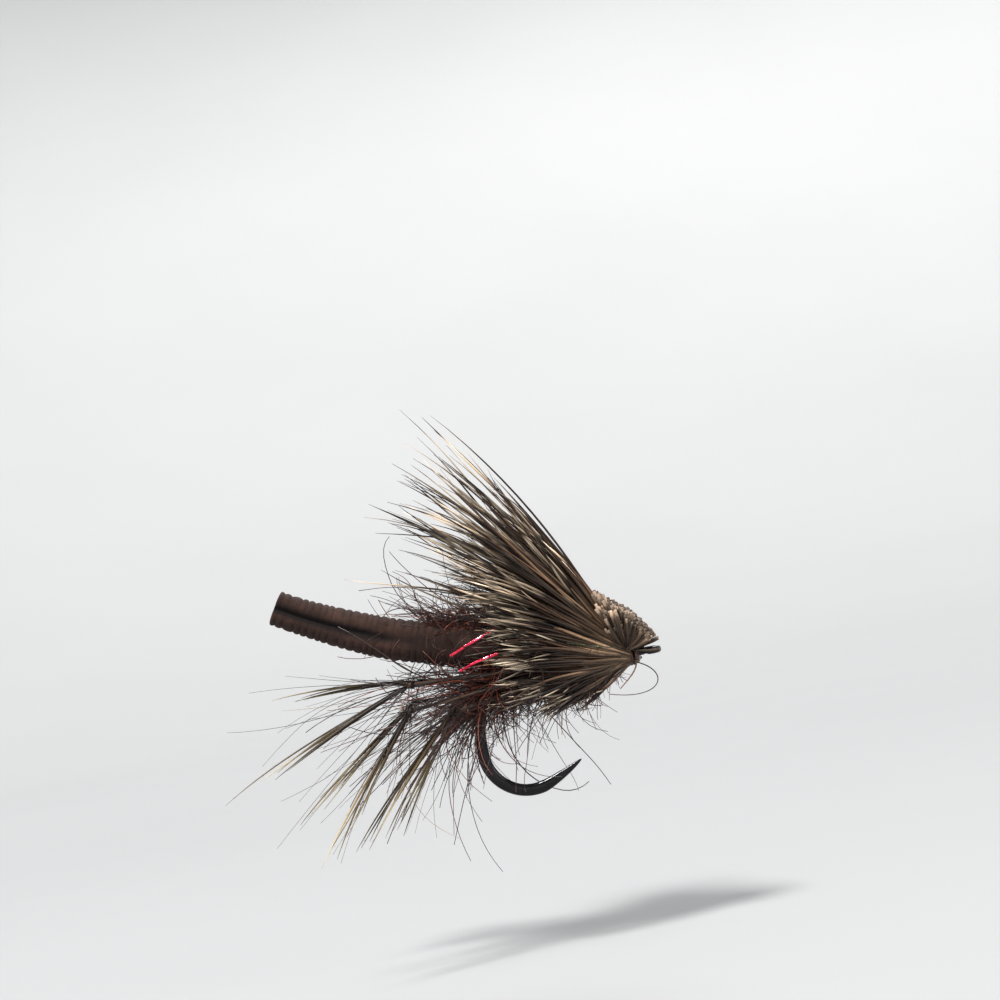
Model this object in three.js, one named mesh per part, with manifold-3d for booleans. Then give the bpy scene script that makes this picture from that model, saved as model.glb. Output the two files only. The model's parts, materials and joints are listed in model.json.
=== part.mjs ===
// A foam-bodied daddy-long-legs dry fly, in millimetres.
// Origin: centre of the hook eye. +X points forward along the shank, +Y to the fly's left, +Z up.
// The hook shank lies on the X axis, the bend hangs below it, and the wing stands above it.
import * as THREE from "three";
import { mergeVertices } from "three/addons/utils/BufferGeometryUtils.js";
import Module from "manifold-3d";

const wasm = await Module();
wasm.setup();

// ---------------------------------------------------------------- driving dimensions
const CLEARANCE = 0.05; // air between neighbouring pieces
const DEGREE = Math.PI / 180;

// Hook: a barbless wire hook with a straight ring eye and a forged bend.
const WIRE_DIAMETER = 0.6;
const EYE_HOLE_DIAMETER = 0.6;
const EYE_WIRE_DIAMETER = 0.42;
const SHANK_LENGTH = 8.9; // eye centre to where the bend starts
const HEEL_RADIUS = 2.9; // where the wire turns down off the shank
const HEEL_TURN = 68 * DEGREE;
const BACK_RADIUS = 7.5; // the long rear of the bend
const BACK_TURN = 26 * DEGREE;
const BELLY_RADIUS = 2.9; // the tight bottom of the bend
const BELLY_TURN = 109 * DEGREE;
const SPEAR_LENGTH = 2.7; // the straighter run up to the point
const SPEAR_TURN = 9 * DEGREE;
const FORGED_WIDTH = 0.82; // across the flattened wire, in the hook's plane
const FORGED_THICKNESS = 0.5; // between the two flats
const FORGED_SQUARENESS = 0.66; // 1 is a round wire; less gives it flats
const POINT_DIAMETER = 0.06;
const POINT_TAPER_LENGTH = 3.1;

// Thread: the wound layer on the shank and the bands that bind the materials.
const THREAD_LAYER = 0.12;
const THREAD_BUILD_UP = 0.3; // how far the binding stands proud of the layer
const WHIP_FINISH_LENGTH = 0.36;
const WHIP_FINISH_BUILD_UP = 0.24;
const CEMENT_COAT = 0.09;
const BINDING_LENGTH = 0.65;
const TIE_BAND_LENGTH = 1.0;
const TIE_BAND_THICKNESS = 0.17;
const TIE_BAND_SETBACK = 0.5; // from the start of the bend forward to the band

// Foam: one ribbed cylinder, bound to the shank in front and free behind the bend.
const FOAM_DIAMETER = 2.8;
const FOAM_FREE_LENGTH = 14.0; // from the flex point to the cut end
const FOAM_RISE_START = 11 * DEGREE;
const FOAM_RISE_END = 30 * DEGREE;
const FOAM_END_SHARE = 0.84; // height of the cut end, as a share of the diameter
const FOAM_RIB_PITCH = 0.52;
const FOAM_RIB_DEPTH = 0.12;
const FOAM_GROOVE_DEPTH = 0.42;
const FOAM_TIED_WIDTH = 1.0;
const FOAM_TIED_HEIGHT = 0.64;
const FOAM_SWELL_LENGTH = 1.5; // from the band back to where the foam is full again

// Dubbing: fur twisted on the thread and wound round the shank.
const ABDOMEN_LENGTH = 2.2;
const ABDOMEN_HALF_WIDTH = 1.05;
const ABDOMEN_TOP_THICKNESS = 0.14;
const ABDOMEN_BOTTOM_THICKNESS = 0.85;
const THORAX_RADIUS = 1.02;

// Legs: knotted tail-feather fibres, three a side.
const LEG_RADIUS = 0.18;
const LEG_KNOT_RADIUS = 0.38;
const LEG_TIP_RADIUS = 0.05;
const LEG_SPREAD_RADIUS = 0.34; // where the fibres of the shin lie side by side
const LEG_ROW_SPACING = 0.5;
const TOP_LEG_HEIGHT = 0.15;
const LEG_BOW = 0.5;

// Hair: bunches bound by their butts, with the tips swept back.
const WING_LENGTH = 18.4;
const WING_RISE = 52 * DEGREE;
const WING_BOW = 3 * DEGREE; // how much steeper the bunch starts
const WING_HALF_WIDTH = 2.3;
const WING_HALF_DEPTH = 1.9;
const SIDE_WING_LENGTH = 16.6;
const SIDE_WING_RISE = 33 * DEGREE;
const SIDE_WING_OUTWARD = 3.6;
const SIDE_WING_HALF_WIDTH = 1.25;
const SIDE_WING_HALF_DEPTH = 0.85;
const COLLAR_LENGTH = 9.2;
const COLLAR_HALF_HEIGHT = 1.15;
const COLLAR_HALF_THICKNESS = 0.34;
const BEARD_LENGTH = 5.0;
const BEARD_DROP = 3.7;
const BEARD_HALF_WIDTH = 0.55;
const BEARD_HALF_THICKNESS = 0.4;
const HEAD_HEIGHT = 3.2; // longest clipped butts, above the binding
const HEAD_WRAP_ANGLE = 80 * DEGREE; // how far the clipped head reaches round each side
const HEAD_SIDE_SHRINK = 0.52; // how much lower it is there than on top

const FLASH_WIDTH = 0.16;
const FLASH_THICKNESS = 0.06;

// ---------------------------------------------------------------- stations worked out from those sizes
const wireRadius = WIRE_DIAMETER / 2;
const eyeRingRadius = (EYE_HOLE_DIAMETER + EYE_WIRE_DIAMETER) / 2;
const eyeOuterRadius = eyeRingRadius + EYE_WIRE_DIAMETER / 2;
const threadInner = wireRadius + CLEARANCE;
const threadOuter = threadInner + THREAD_LAYER;
const bindingInner = threadOuter + CLEARANCE;
const bindingOuter = bindingInner + THREAD_BUILD_UP;
const foamRadius = FOAM_DIAMETER / 2;

const shankEndX = -SHANK_LENGTH;
const whipFrontX = -(eyeOuterRadius + CLEARANCE);
const whipRearX = whipFrontX - WHIP_FINISH_LENGTH;
const bindingFrontX = whipRearX - 2 * CLEARANCE;
const bindingRearX = bindingFrontX - BINDING_LENGTH;
const hairRootX = bindingRearX - CLEARANCE;
const tieBandRearX = shankEndX + TIE_BAND_SETBACK;
const tieBandFrontX = tieBandRearX + TIE_BAND_LENGTH;
const hipX = tieBandFrontX + LEG_RADIUS + CLEARANCE;
const thoraxRearX = hipX + LEG_RADIUS + CLEARANCE;
const thoraxFrontX = hairRootX - 0.2;
const abdomenFrontX = tieBandRearX - 3 * CLEARANCE;
const abdomenRearX = abdomenFrontX - ABDOMEN_LENGTH;
const abdomenTop = bindingInner + ABDOMEN_TOP_THICKNESS;
const foamFloor = abdomenTop + CLEARANCE; // the foam lies on the dubbing
const foamFlexX = abdomenRearX - 0.4;
const foamFlexZ = foamFloor + foamRadius;
const foamTiedBottom = threadOuter + CLEARANCE;
const tieBandTop = foamTiedBottom + FOAM_TIED_HEIGHT + 2 * CLEARANCE;
const tieBandBottom = -bindingInner;

// ---------------------------------------------------------------- geometry helpers
const mix = (a, b, t) => a + (b - a) * t;
const clamp01 = (t) => Math.min(1, Math.max(0, t));
const smooth = (t) => clamp01(t) ** 2 * (3 - 2 * clamp01(t));

// A closed surface from a grid of points. Rings close on themselves. The ends are capped, or joined if loop
// is set.
function gridSolid(rings, loop = false) {
  const sides = rings[0].length;
  const points = rings.flat();
  const faces = [];
  const last = loop ? rings.length : rings.length - 1;
  for (let i = 0; i < last; i++) {
    const next = (i + 1) % rings.length;
    for (let j = 0; j < sides; j++) {
      const k = (j + 1) % sides;
      const [a, b, c, d] = [i * sides + j, i * sides + k, next * sides + k, next * sides + j];
      faces.push(a, b, c, a, c, d);
    }
  }
  if (!loop) {
    for (const [ring, flip] of [[0, true], [rings.length - 1, false]]) {
      const centre = points.length;
      const middle = rings[ring].reduce((sum, p) => sum.add(p), new THREE.Vector3());
      points.push(middle.divideScalar(sides));
      for (let j = 0; j < sides; j++) {
        const [a, b] = [ring * sides + j, ring * sides + ((j + 1) % sides)];
        faces.push(...(flip ? [centre, b, a] : [centre, a, b]));
      }
    }
  }
  const geometry = new THREE.BufferGeometry().setFromPoints(points);
  let volume = 0;
  for (let i = 0; i < faces.length; i += 3) {
    const [a, b, c] = [points[faces[i]], points[faces[i + 1]], points[faces[i + 2]]];
    volume += a.dot(b.clone().cross(c));
  }
  geometry.setIndex(volume < 0 ? faces.reverse() : faces);
  return geometry;
}

// A solid swept along a curve. section(t, angle) gives the offsets from the curve, to the fly's left and up.
function sweep(curve, section, steps, sides) {
  const rings = [];
  const stations = Array.isArray(steps) ? steps : Array.from({ length: steps + 1 }, (_, i) => i / steps);
  for (const t of stations) {
    const centre = curve.getPointAt(t);
    const along = curve.getTangentAt(t);
    const left = new THREE.Vector3(0, 1, 0).addScaledVector(along, -along.y).normalize();
    const up = left.clone().cross(along).normalize();
    if (along.x < 0) up.negate();
    const ring = [];
    for (let j = 0; j < sides; j++) {
      const angle = (j / sides) * 2 * Math.PI;
      const [across, above] = section(t, angle);
      ring.push(centre.clone().addScaledVector(left, across).addScaledVector(up, above));
    }
    rings.push(ring);
  }
  return gridSolid(rings);
}

// A ring round the shank. profile is a closed loop of [x, share], with share 0 on the inner oval and 1 on the
// outer one. inner(x) and outer(x) give { z, halfWidth, halfHeight } of those ovals.
function shankRing(profile, inner, outer, sides = 24, rough = () => 0) {
  const rings = [];
  for (let i = 0; i < sides; i++) {
    const angle = (i / sides) * 2 * Math.PI;
    rings.push(
      profile.map(([x, share]) => {
        const a = inner(x);
        const b = outer(x);
        const reach = clamp01(share + (share > 0 ? rough(x, angle) : 0));
        const y = mix(a.halfWidth, b.halfWidth, reach) * Math.sin(angle);
        const above = (oval) => oval.z + oval.halfHeight * Math.cos(angle);
        return new THREE.Vector3(x, y, mix(above(a), above(b), reach));
      }),
    );
  }
  return gridSolid(rings, true);
}

// The outline of a wound band between two stations: flat inside, one bump for each turn of thread outside.
function woundProfile(fromX, toX, turns, valley = 0.75) {
  const profile = [[fromX, 0], [toX, 0]];
  for (let i = turns; i > 0; i--) {
    profile.push([mix(fromX, toX, i / turns), valley]);
    profile.push([mix(fromX, toX, (i - 0.5) / turns), 1]);
  }
  profile.push([fromX, valley]);
  return profile;
}

const round = (radius, z = 0) => () => ({ z, halfWidth: radius, halfHeight: radius });

function solidOf(geometry) {
  const plain = geometry.clone();
  plain.deleteAttribute("normal");
  plain.deleteAttribute("uv");
  const merged = mergeVertices(plain, 1e-4);
  const mesh = new wasm.Mesh({
    numProp: 3,
    vertProperties: merged.getAttribute("position").array,
    triVerts: new Uint32Array(merged.index.array),
  });
  return new wasm.Manifold(mesh);
}

function geometryOf(solid) {
  const mesh = solid.getMesh();
  const geometry = new THREE.BufferGeometry();
  geometry.setAttribute("position", new THREE.BufferAttribute(mesh.vertProperties.slice(), 3));
  geometry.setIndex(new THREE.BufferAttribute(mesh.triVerts.slice(), 1));
  return geometry;
}

const fly = new THREE.Group();

function addPiece(name, geometry, material) {
  geometry.computeVertexNormals();
  const mesh = new THREE.Mesh(geometry, material);
  mesh.name = name;
  fly.add(mesh);
}

const finish = (color, roughness, metalness = 0) =>
  new THREE.MeshStandardMaterial({ color, roughness, metalness });
const blackNickel = finish(0x17161a, 0.18, 1);
const tyingThread = finish(0x3a2218, 0.6);
const clearCement = finish(0x7a4a30, 0.08);
const brownFoam = finish(0x35241f, 0.92);
const furDubbing = finish(0x3d1c12, 0.85);
const featherFibre = finish(0x4a3626, 0.6);
const deerHair = finish(0x5b4c3e, 0.55);
const clippedHair = finish(0x7b6c5d, 0.7);
const redFlash = finish(0xd81f45, 0.2, 0.6);
const greenFlash = finish(0x6f8c1f, 0.2, 0.6);

// ---------------------------------------------------------------- hook
// The bend starts at the shank's end, turns down through two radii, and runs out in the spear.
function hookCentreLine() {
  const points = [new THREE.Vector3(-eyeRingRadius, 0, 0), new THREE.Vector3(shankEndX, 0, 0)];
  let turned = 0;
  const run = (turn, length, pieces) => {
    for (let i = 0; i < pieces; i++) {
      turned += turn / pieces / 2;
      const step = new THREE.Vector3(-Math.cos(turned), 0, -Math.sin(turned));
      points.push(points.at(-1).clone().addScaledVector(step, length / pieces));
      turned += turn / pieces / 2;
    }
  };
  run(HEEL_TURN, HEEL_RADIUS * HEEL_TURN, 9);
  run(BACK_TURN, BACK_RADIUS * BACK_TURN, 5);
  run(BELLY_TURN, BELLY_RADIUS * BELLY_TURN, 15);
  run(SPEAR_TURN, SPEAR_LENGTH, 6);
  return points;
}

const hookLine = hookCentreLine();
function buildHook() {
  const line = hookLine;
  const lengths = line.map((p, i) => (i ? p.distanceTo(line[i - 1]) : 0));
  const total = lengths.reduce((a, b) => a + b);
  const forgedFrom = SHANK_LENGTH + HEEL_RADIUS * HEEL_TURN;
  const forgedFull = forgedFrom + BACK_RADIUS * BACK_TURN;
  const sides = 12;
  const rings = [];
  let travelled = 0;
  line.forEach((centre, i) => {
    travelled += lengths[i];
    const before = line[Math.max(0, i - 1)];
    const after = line[Math.min(line.length - 1, i + 1)];
    const along = after.clone().sub(before).normalize();
    const inward = new THREE.Vector3(along.z, 0, -along.x); // in the hook's plane, across the wire
    const forged = smooth((travelled - forgedFrom) / (forgedFull - forgedFrom));
    const toPoint = clamp01((total - travelled) / POINT_TAPER_LENGTH);
    const taper = mix(POINT_DIAMETER / FORGED_WIDTH, 1, Math.sqrt(toPoint));
    const halfWidth = (mix(WIRE_DIAMETER, FORGED_WIDTH, forged) / 2) * taper;
    const halfThickness = (mix(WIRE_DIAMETER, FORGED_THICKNESS, forged) / 2) * taper;
    const squareness = mix(1, FORGED_SQUARENESS, forged);
    const ring = [];
    for (let j = 0; j < sides; j++) {
      const angle = ((j + 0.5) / sides) * 2 * Math.PI;
      const bent = (v) => Math.sign(v) * Math.abs(v) ** squareness;
      const point = centre.clone().addScaledVector(inward, halfWidth * bent(Math.cos(angle)));
      point.y += halfThickness * bent(Math.sin(angle));
      ring.push(point);
    }
    rings.push(ring);
  });
  const wire = solidOf(gridSolid(rings));
  const eye = solidOf(new THREE.TorusGeometry(eyeRingRadius, EYE_WIRE_DIAMETER / 2, 10, 24));
  return geometryOf(wire.add(eye));
}

const hookGeometry = buildHook();
addPiece("hook", hookGeometry, blackNickel);

// Height of the wire's centre under a station, for what is wound round the start of the bend.
function wireZ(x) {
  const past = Math.min(Math.max(0, shankEndX - x), HEEL_RADIUS * Math.sin(HEEL_TURN));
  return Math.sqrt(HEEL_RADIUS ** 2 - past ** 2) - HEEL_RADIUS;
}

// ---------------------------------------------------------------- thread
const underbodyProfile = woundProfile(shankEndX + CLEARANCE, whipRearX - CLEARANCE, 14, 0.85);
addPiece(
  "thread_underbody",
  shankRing(underbodyProfile, round(threadInner), round(threadOuter), 16),
  tyingThread,
);
addPiece(
  "hair_binding_thread",
  shankRing(woundProfile(bindingRearX, bindingFrontX, 5), round(bindingInner), round(bindingOuter), 20),
  tyingThread,
);
const whipOuter = threadInner + WHIP_FINISH_BUILD_UP;
addPiece(
  "whip_finish",
  shankRing(woundProfile(whipRearX, whipFrontX, 4), round(threadInner), round(whipOuter), 20),
  tyingThread,
);
const cementEdge = CLEARANCE / 2;
addPiece(
  "head_cement",
  shankRing(
    woundProfile(whipRearX + cementEdge, whipFrontX - cementEdge, 1, 0.3),
    round(whipOuter + CLEARANCE),
    round(whipOuter + CLEARANCE + CEMENT_COAT),
    20,
  ),
  clearCement,
);

// The band that binds the pressed-down foam on top of the thread layer.
const tieBandInner = () => ({
  z: (tieBandTop + tieBandBottom) / 2,
  halfWidth: FOAM_TIED_WIDTH / 2 + 4 * CLEARANCE,
  halfHeight: (tieBandTop - tieBandBottom) / 2,
});
const tieBandOuter = () => {
  const inner = tieBandInner();
  return {
    z: inner.z,
    halfWidth: inner.halfWidth + TIE_BAND_THICKNESS,
    halfHeight: inner.halfHeight + TIE_BAND_THICKNESS,
  };
};
addPiece(
  "foam_tie_band",
  shankRing(woundProfile(tieBandRearX, tieBandFrontX, 7), tieBandInner, tieBandOuter, 24),
  tyingThread,
);
const tieBandHalfWidth = tieBandOuter().halfWidth;

// ---------------------------------------------------------------- foam
const foamCurvature = (FOAM_RISE_END - FOAM_RISE_START) / FOAM_FREE_LENGTH;

// Centre of the free foam, a distance s behind the flex point.
function foamCentre(s) {
  const rise = FOAM_RISE_START + foamCurvature * s;
  const back = (Math.sin(rise) - Math.sin(FOAM_RISE_START)) / foamCurvature;
  const up = (Math.cos(FOAM_RISE_START) - Math.cos(rise)) / foamCurvature;
  return new THREE.Vector3(foamFlexX - back, 0, foamFlexZ + up);
}

// Radius of the foam: ribs across it, and a groove along its right side that closes towards the front.
function foamReach(s, angle) {
  const rib = FOAM_RIB_DEPTH * (0.5 - 0.5 * Math.cos((2 * Math.PI * s) / FOAM_RIB_PITCH));
  const fromGroove = Math.atan2(Math.sin(angle - Math.PI), -Math.cos(angle));
  const open = smooth((s - 0.25 * FOAM_FREE_LENGTH) / (0.6 * FOAM_FREE_LENGTH));
  const groove = FOAM_GROOVE_DEPTH * open * Math.exp(-((fromGroove / 0.22) ** 2));
  const slimming = mix(1, FOAM_END_SHARE, smooth((s / FOAM_FREE_LENGTH - 0.4) / 0.6));
  return foamRadius * slimming - rib - groove;
}

function buildFoamTail() {
  const sides = 20;
  const rings = [];
  const ringAt = (centre, rise, reach) => {
    const up = new THREE.Vector3(Math.sin(rise), 0, Math.cos(rise));
    const ring = [];
    for (let j = 0; j < sides; j++) {
      const angle = (j / sides) * 2 * Math.PI;
      const point = centre.clone().addScaledVector(up, reach(angle) * Math.sin(angle));
      point.y += reach(angle) * Math.cos(angle);
      ring.push(point);
    }
    rings.push(ring);
  };
  // A half-round nose, centred on the flex point, turns in the socket of the bound foam.
  const forward = new THREE.Vector3(Math.cos(FOAM_RISE_START), 0, -Math.sin(FOAM_RISE_START));
  const noseSteps = 5;
  for (let i = 1; i < noseSteps; i++) {
    const dip = (i / noseSteps) * 90 * DEGREE;
    const centre = foamCentre(0).addScaledVector(forward, foamRadius * Math.cos(dip));
    ringAt(centre, FOAM_RISE_START, () => foamRadius * Math.sin(dip));
  }
  const ribs = Math.round(FOAM_FREE_LENGTH / FOAM_RIB_PITCH);
  for (let i = 0; i <= 2 * ribs; i++) {
    const s = (i / (2 * ribs)) * FOAM_FREE_LENGTH;
    const alongRibs = (i / 2) * FOAM_RIB_PITCH;
    ringAt(foamCentre(s), FOAM_RISE_START + foamCurvature * s, (angle) => foamReach(alongRibs, angle));
  }
  return gridSolid(rings);
}
addPiece("foam_body_tail", buildFoamTail(), brownFoam);

// The bound front of the foam: pressed flat under the band, full behind it, with a socket for the free part.
function buildFoamFront() {
  const sides = 20;
  const rings = [];
  const oval = (x, z, halfWidth, halfHeight) => {
    const ring = [];
    for (let j = 0; j < sides; j++) {
      const angle = (j / sides) * 2 * Math.PI;
      ring.push(new THREE.Vector3(x, halfWidth * Math.cos(angle), z + halfHeight * Math.sin(angle)));
    }
    rings.push(ring);
  };
  const fullX = tieBandRearX - FOAM_SWELL_LENGTH;
  const socketRadius = foamRadius + CLEARANCE;
  const startX = tieBandFrontX - CLEARANCE;
  oval(startX, foamTiedBottom + FOAM_TIED_HEIGHT / 2, FOAM_TIED_WIDTH / 2, FOAM_TIED_HEIGHT / 2);
  const steps = 10;
  for (let i = 0; i <= steps; i++) {
    const t = i / steps;
    const x = mix(tieBandRearX, fullX, t);
    const bottom = mix(foamTiedBottom, foamFloor, smooth(t * 6));
    const height = mix(FOAM_TIED_HEIGHT, FOAM_DIAMETER, Math.sin((t * Math.PI) / 2));
    const width = mix(FOAM_TIED_WIDTH, FOAM_DIAMETER, Math.sin((t * Math.PI) / 2));
    oval(x, bottom + height / 2, width / 2, height / 2);
  }
  oval(foamFlexX + 0.34 * foamRadius, foamFlexZ, foamRadius, foamRadius);
  const socketSteps = 6;
  for (let i = 0; i < socketSteps; i++) {
    const dip = mix(70, 8, i / (socketSteps - 1)) * DEGREE;
    const x = foamFlexX + socketRadius * Math.cos(dip);
    oval(x, foamFlexZ, socketRadius * Math.sin(dip), socketRadius * Math.sin(dip));
  }
  return gridSolid(rings);
}
addPiece("foam_body_front", buildFoamFront(), brownFoam);

// ---------------------------------------------------------------- dubbing
const fuzz = (x, angle) => -0.09 * (1 + Math.sin(5 * angle + 7 * x)) * (1 + Math.cos(11 * x));

function dubbingProfile(frontX, rearX, rows) {
  const profile = [[frontX, 0]];
  for (let i = 0; i <= rows; i++) {
    const t = i / rows;
    profile.push([mix(frontX, rearX, t), 0.35 + 0.65 * Math.sin(Math.PI * mix(0.08, 0.92, t)) ** 0.5]);
  }
  for (let i = 0; i < 4; i++) profile.push([mix(rearX, frontX, i / 4), 0]);
  return profile;
}

const abdomenInner = (x) => ({ z: wireZ(x), halfWidth: bindingInner, halfHeight: bindingInner });
const abdomenOuter = (x) => {
  const bottom = -bindingInner - ABDOMEN_BOTTOM_THICKNESS;
  return {
    z: wireZ(x) * 0.4 + (abdomenTop + bottom) / 2,
    halfWidth: ABDOMEN_HALF_WIDTH,
    halfHeight: (abdomenTop - bottom) / 2,
  };
};
addPiece(
  "dubbing_abdomen",
  shankRing(dubbingProfile(abdomenFrontX, abdomenRearX, 8), abdomenInner, abdomenOuter, 18, fuzz),
  furDubbing,
);
const thoraxProfile = dubbingProfile(thoraxFrontX, thoraxRearX, 9);
addPiece(
  "dubbing_thorax",
  shankRing(thoraxProfile, round(bindingInner), round(THORAX_RADIUS), 18, fuzz),
  furDubbing,
);

// ---------------------------------------------------------------- legs
// knee and tip are [back, out, up] from the hip and from the knee. row 0 is the highest of the three hips.
const hipStart = threadOuter + CLEARANCE;
const hipSpread = Math.max(ABDOMEN_HALF_WIDTH, tieBandHalfWidth) + 3 * CLEARANCE + LEG_RADIUS;
const legs = [
  { name: "leg_right_front", side: -1, row: 0, knee: [8.9, 1.4, 0.4], tip: [12.8, 1.4, -6.1] },
  { name: "leg_right_middle", side: -1, row: 1, knee: [9.1, 2.6, -0.7], tip: [6.8, 1.4, -9.3], ankle: 0.3 },
  { name: "leg_right_rear", side: -1, row: 2, knee: [6.4, 0.8, -0.9], tip: [7.4, 0.7, -8.2] },
  { name: "leg_left_front", side: 1, row: 0, knee: [8.3, 1.6, 0.1], tip: [10.3, 1.9, 0.0] },
  { name: "leg_left_middle", side: 1, row: 1, knee: [9.0, 2.8, -0.8], tip: [8.9, 2.0, -7.4], ankle: 0.3 },
  { name: "leg_left_rear", side: 1, row: 2, knee: [5.9, 0.9, -1.1], tip: [6.2, 0.9, -8.0] },
];

// A thigh leaves the thread sideways, clears the band and the dubbing, and runs back to its knot.
function buildThigh(hip, knee, side) {
  const outward = new THREE.Vector3(0, side, 0);
  const line = (end) => {
    const turn = hip.clone().addScaledVector(outward, 2 * (hipSpread - hipStart));
    const run = end.clone().lerp(hip, 0.72);
    run.y = side * (hipSpread + 0.3);
    return new THREE.CubicBezierCurve3(hip, turn, run, end);
  };
  const toKnee = line(knee);
  // The line is drawn out past the knee by the knot's radius, so that the knot is centred on the knee.
  const curve = line(knee.clone().addScaledVector(toKnee.getTangent(1), LEG_KNOT_RADIUS));
  const length = curve.getLength();
  const knotStart = 1 - (2 * LEG_KNOT_RADIUS) / length;
  const stations = [0, 0.04, 0.09, 0.14, 0.2, 0.3, 0.45, 0.6, 0.8, knotStart];
  const knotSteps = 6;
  for (let i = 1; i <= knotSteps; i++) stations.push(mix(knotStart, 1, i / knotSteps));
  const reach = (t) => {
    const fromKnee = (1 - t) * length - LEG_KNOT_RADIUS;
    const knot = Math.sqrt(Math.max(0, LEG_KNOT_RADIUS ** 2 - fromKnee ** 2));
    return Math.max(knot, fromKnee > 0 ? LEG_RADIUS : LEG_TIP_RADIUS);
  };
  return sweep(curve, (t, a) => [reach(t) * Math.cos(a), reach(t) * Math.sin(a)], stations, 8);
}

// A shin starts just clear of the knot, spreads into its separate fibres, and thins out to the tip.
function buildShin(knee, tip, ankle) {
  const along = tip.clone().sub(knee).normalize();
  const from = knee.clone().addScaledVector(along, LEG_KNOT_RADIUS + CLEARANCE);
  const middle = from.clone().lerp(tip, 0.5).add(new THREE.Vector3(0, 0, LEG_BOW));
  const curve = new THREE.QuadraticBezierCurve3(from, middle, tip);
  const steps = ankle ? 16 : 10;
  const reach = (t) => {
    const spread = mix(LEG_RADIUS, LEG_SPREAD_RADIUS, smooth(t / 0.55));
    const body = mix(spread, LEG_TIP_RADIUS, smooth((t - 0.55) / 0.45));
    const knot = ankle ? (LEG_KNOT_RADIUS - body) * Math.exp(-(((t - ankle) / 0.04) ** 2)) : 0;
    return body + Math.max(0, knot);
  };
  return sweep(curve, (t, a) => [reach(t) * 0.75 * Math.cos(a), reach(t) * Math.sin(a)], steps, 8);
}

for (const { name, side, row, knee, tip, ankle } of legs) {
  const offset = ([back, out, up]) => new THREE.Vector3(-back, side * out, up);
  const hip = new THREE.Vector3(hipX, side * hipStart, TOP_LEG_HEIGHT - row * LEG_ROW_SPACING);
  const kneePoint = new THREE.Vector3(hipX, side * hipSpread, hip.z).add(offset(knee));
  addPiece(name + "_thigh", buildThigh(hip, kneePoint, side), featherFibre);
  addPiece(name + "_shin", buildShin(kneePoint, kneePoint.clone().add(offset(tip)), ankle), featherFibre);
}

// ---------------------------------------------------------------- hair
// One bunch: a fluted bundle that opens from its bound root and ends in a ragged tip.
function bunch(points, halfWidth, halfHeight, rootShare = 0.2) {
  const curve = new THREE.CatmullRomCurve3(points);
  const sides = 20;
  const opening = (t) => mix(rootShare, 1, Math.sin((Math.PI / 2) * clamp01(t / 0.7)));
  const closing = (t) => 1 - 0.8 * smooth((t - 0.72) / 0.28);
  const section = (t, angle) => {
    const flute = 1 - 0.16 * t * (Math.round((angle / Math.PI) * 10) % 2);
    const reach = opening(t) * closing(t) * flute;
    return [halfWidth * reach * Math.cos(angle), halfHeight * reach * Math.sin(angle)];
  };
  return sweep(curve, section, 11, sides);
}

// A point behind the hair root: back along the shank, out to the left, and up.
const hairPoint = (back, out, up) => new THREE.Vector3(hairRootX - back, out, up);
const rootHeight = bindingInner + 0.35;
const swept = (length, rise) => [length * Math.cos(rise), length * Math.sin(rise)];

function buildWing() {
  const [midBack, midUp] = swept(WING_LENGTH * 0.45, WING_RISE + WING_BOW);
  const [tipBack, tipUp] = swept(WING_LENGTH, WING_RISE);
  const points = [
    hairPoint(0.1, 0, rootHeight),
    hairPoint(midBack, 0, rootHeight + midUp),
    hairPoint(tipBack, 0, rootHeight + tipUp),
  ];
  return bunch(points, WING_HALF_WIDTH, WING_HALF_DEPTH, 0.16);
}
addPiece("wing_top", buildWing(), deerHair);

for (const [label, side] of [["right", -1], ["left", 1]]) {
  const [back, up] = swept(SIDE_WING_LENGTH, SIDE_WING_RISE);
  const wingPoints = [
    hairPoint(0.15, side * 0.55, rootHeight - 0.1),
    hairPoint(back * 0.45, side * 0.58 * SIDE_WING_OUTWARD, rootHeight + up * 0.5),
    hairPoint(back, side * SIDE_WING_OUTWARD, rootHeight + up),
  ];
  addPiece("wing_" + label, bunch(wingPoints, SIDE_WING_HALF_WIDTH, SIDE_WING_HALF_DEPTH), deerHair);

  // The collar lies along the side of the thorax and of the foam, outside the flash.
  const outside = (inner) => side * (inner + CLEARANCE + COLLAR_HALF_THICKNESS);
  const besideThorax = outside(Math.max(THORAX_RADIUS, tieBandHalfWidth));
  const besideFoam = outside(foamRadius + CLEARANCE + 2 * FLASH_THICKNESS);
  const collarPoints = [
    hairPoint(0.1, side * (bindingInner + 0.32), 0.3),
    hairPoint(1.3, besideThorax, 0.75),
    hairPoint(COLLAR_LENGTH * 0.55, besideFoam, 2.1),
    hairPoint(COLLAR_LENGTH, besideFoam + side * 0.55, 3.0),
  ];
  const collar = bunch(collarPoints, COLLAR_HALF_THICKNESS, COLLAR_HALF_HEIGHT, 0.3);
  addPiece("collar_" + label, collar, deerHair);

  const below = THORAX_RADIUS + CLEARANCE + BEARD_HALF_THICKNESS;
  const beardPoints = [
    hairPoint(0.1, side * 0.55, -rootHeight + 0.1),
    hairPoint(BEARD_LENGTH * 0.36, side * below * 0.62, -below),
    hairPoint(BEARD_LENGTH, side * (below * 0.6 + 0.7), -BEARD_DROP),
  ];
  addPiece("beard_" + label, bunch(beardPoints, BEARD_HALF_WIDTH, BEARD_HALF_THICKNESS, 0.4), deerHair);
}

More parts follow.
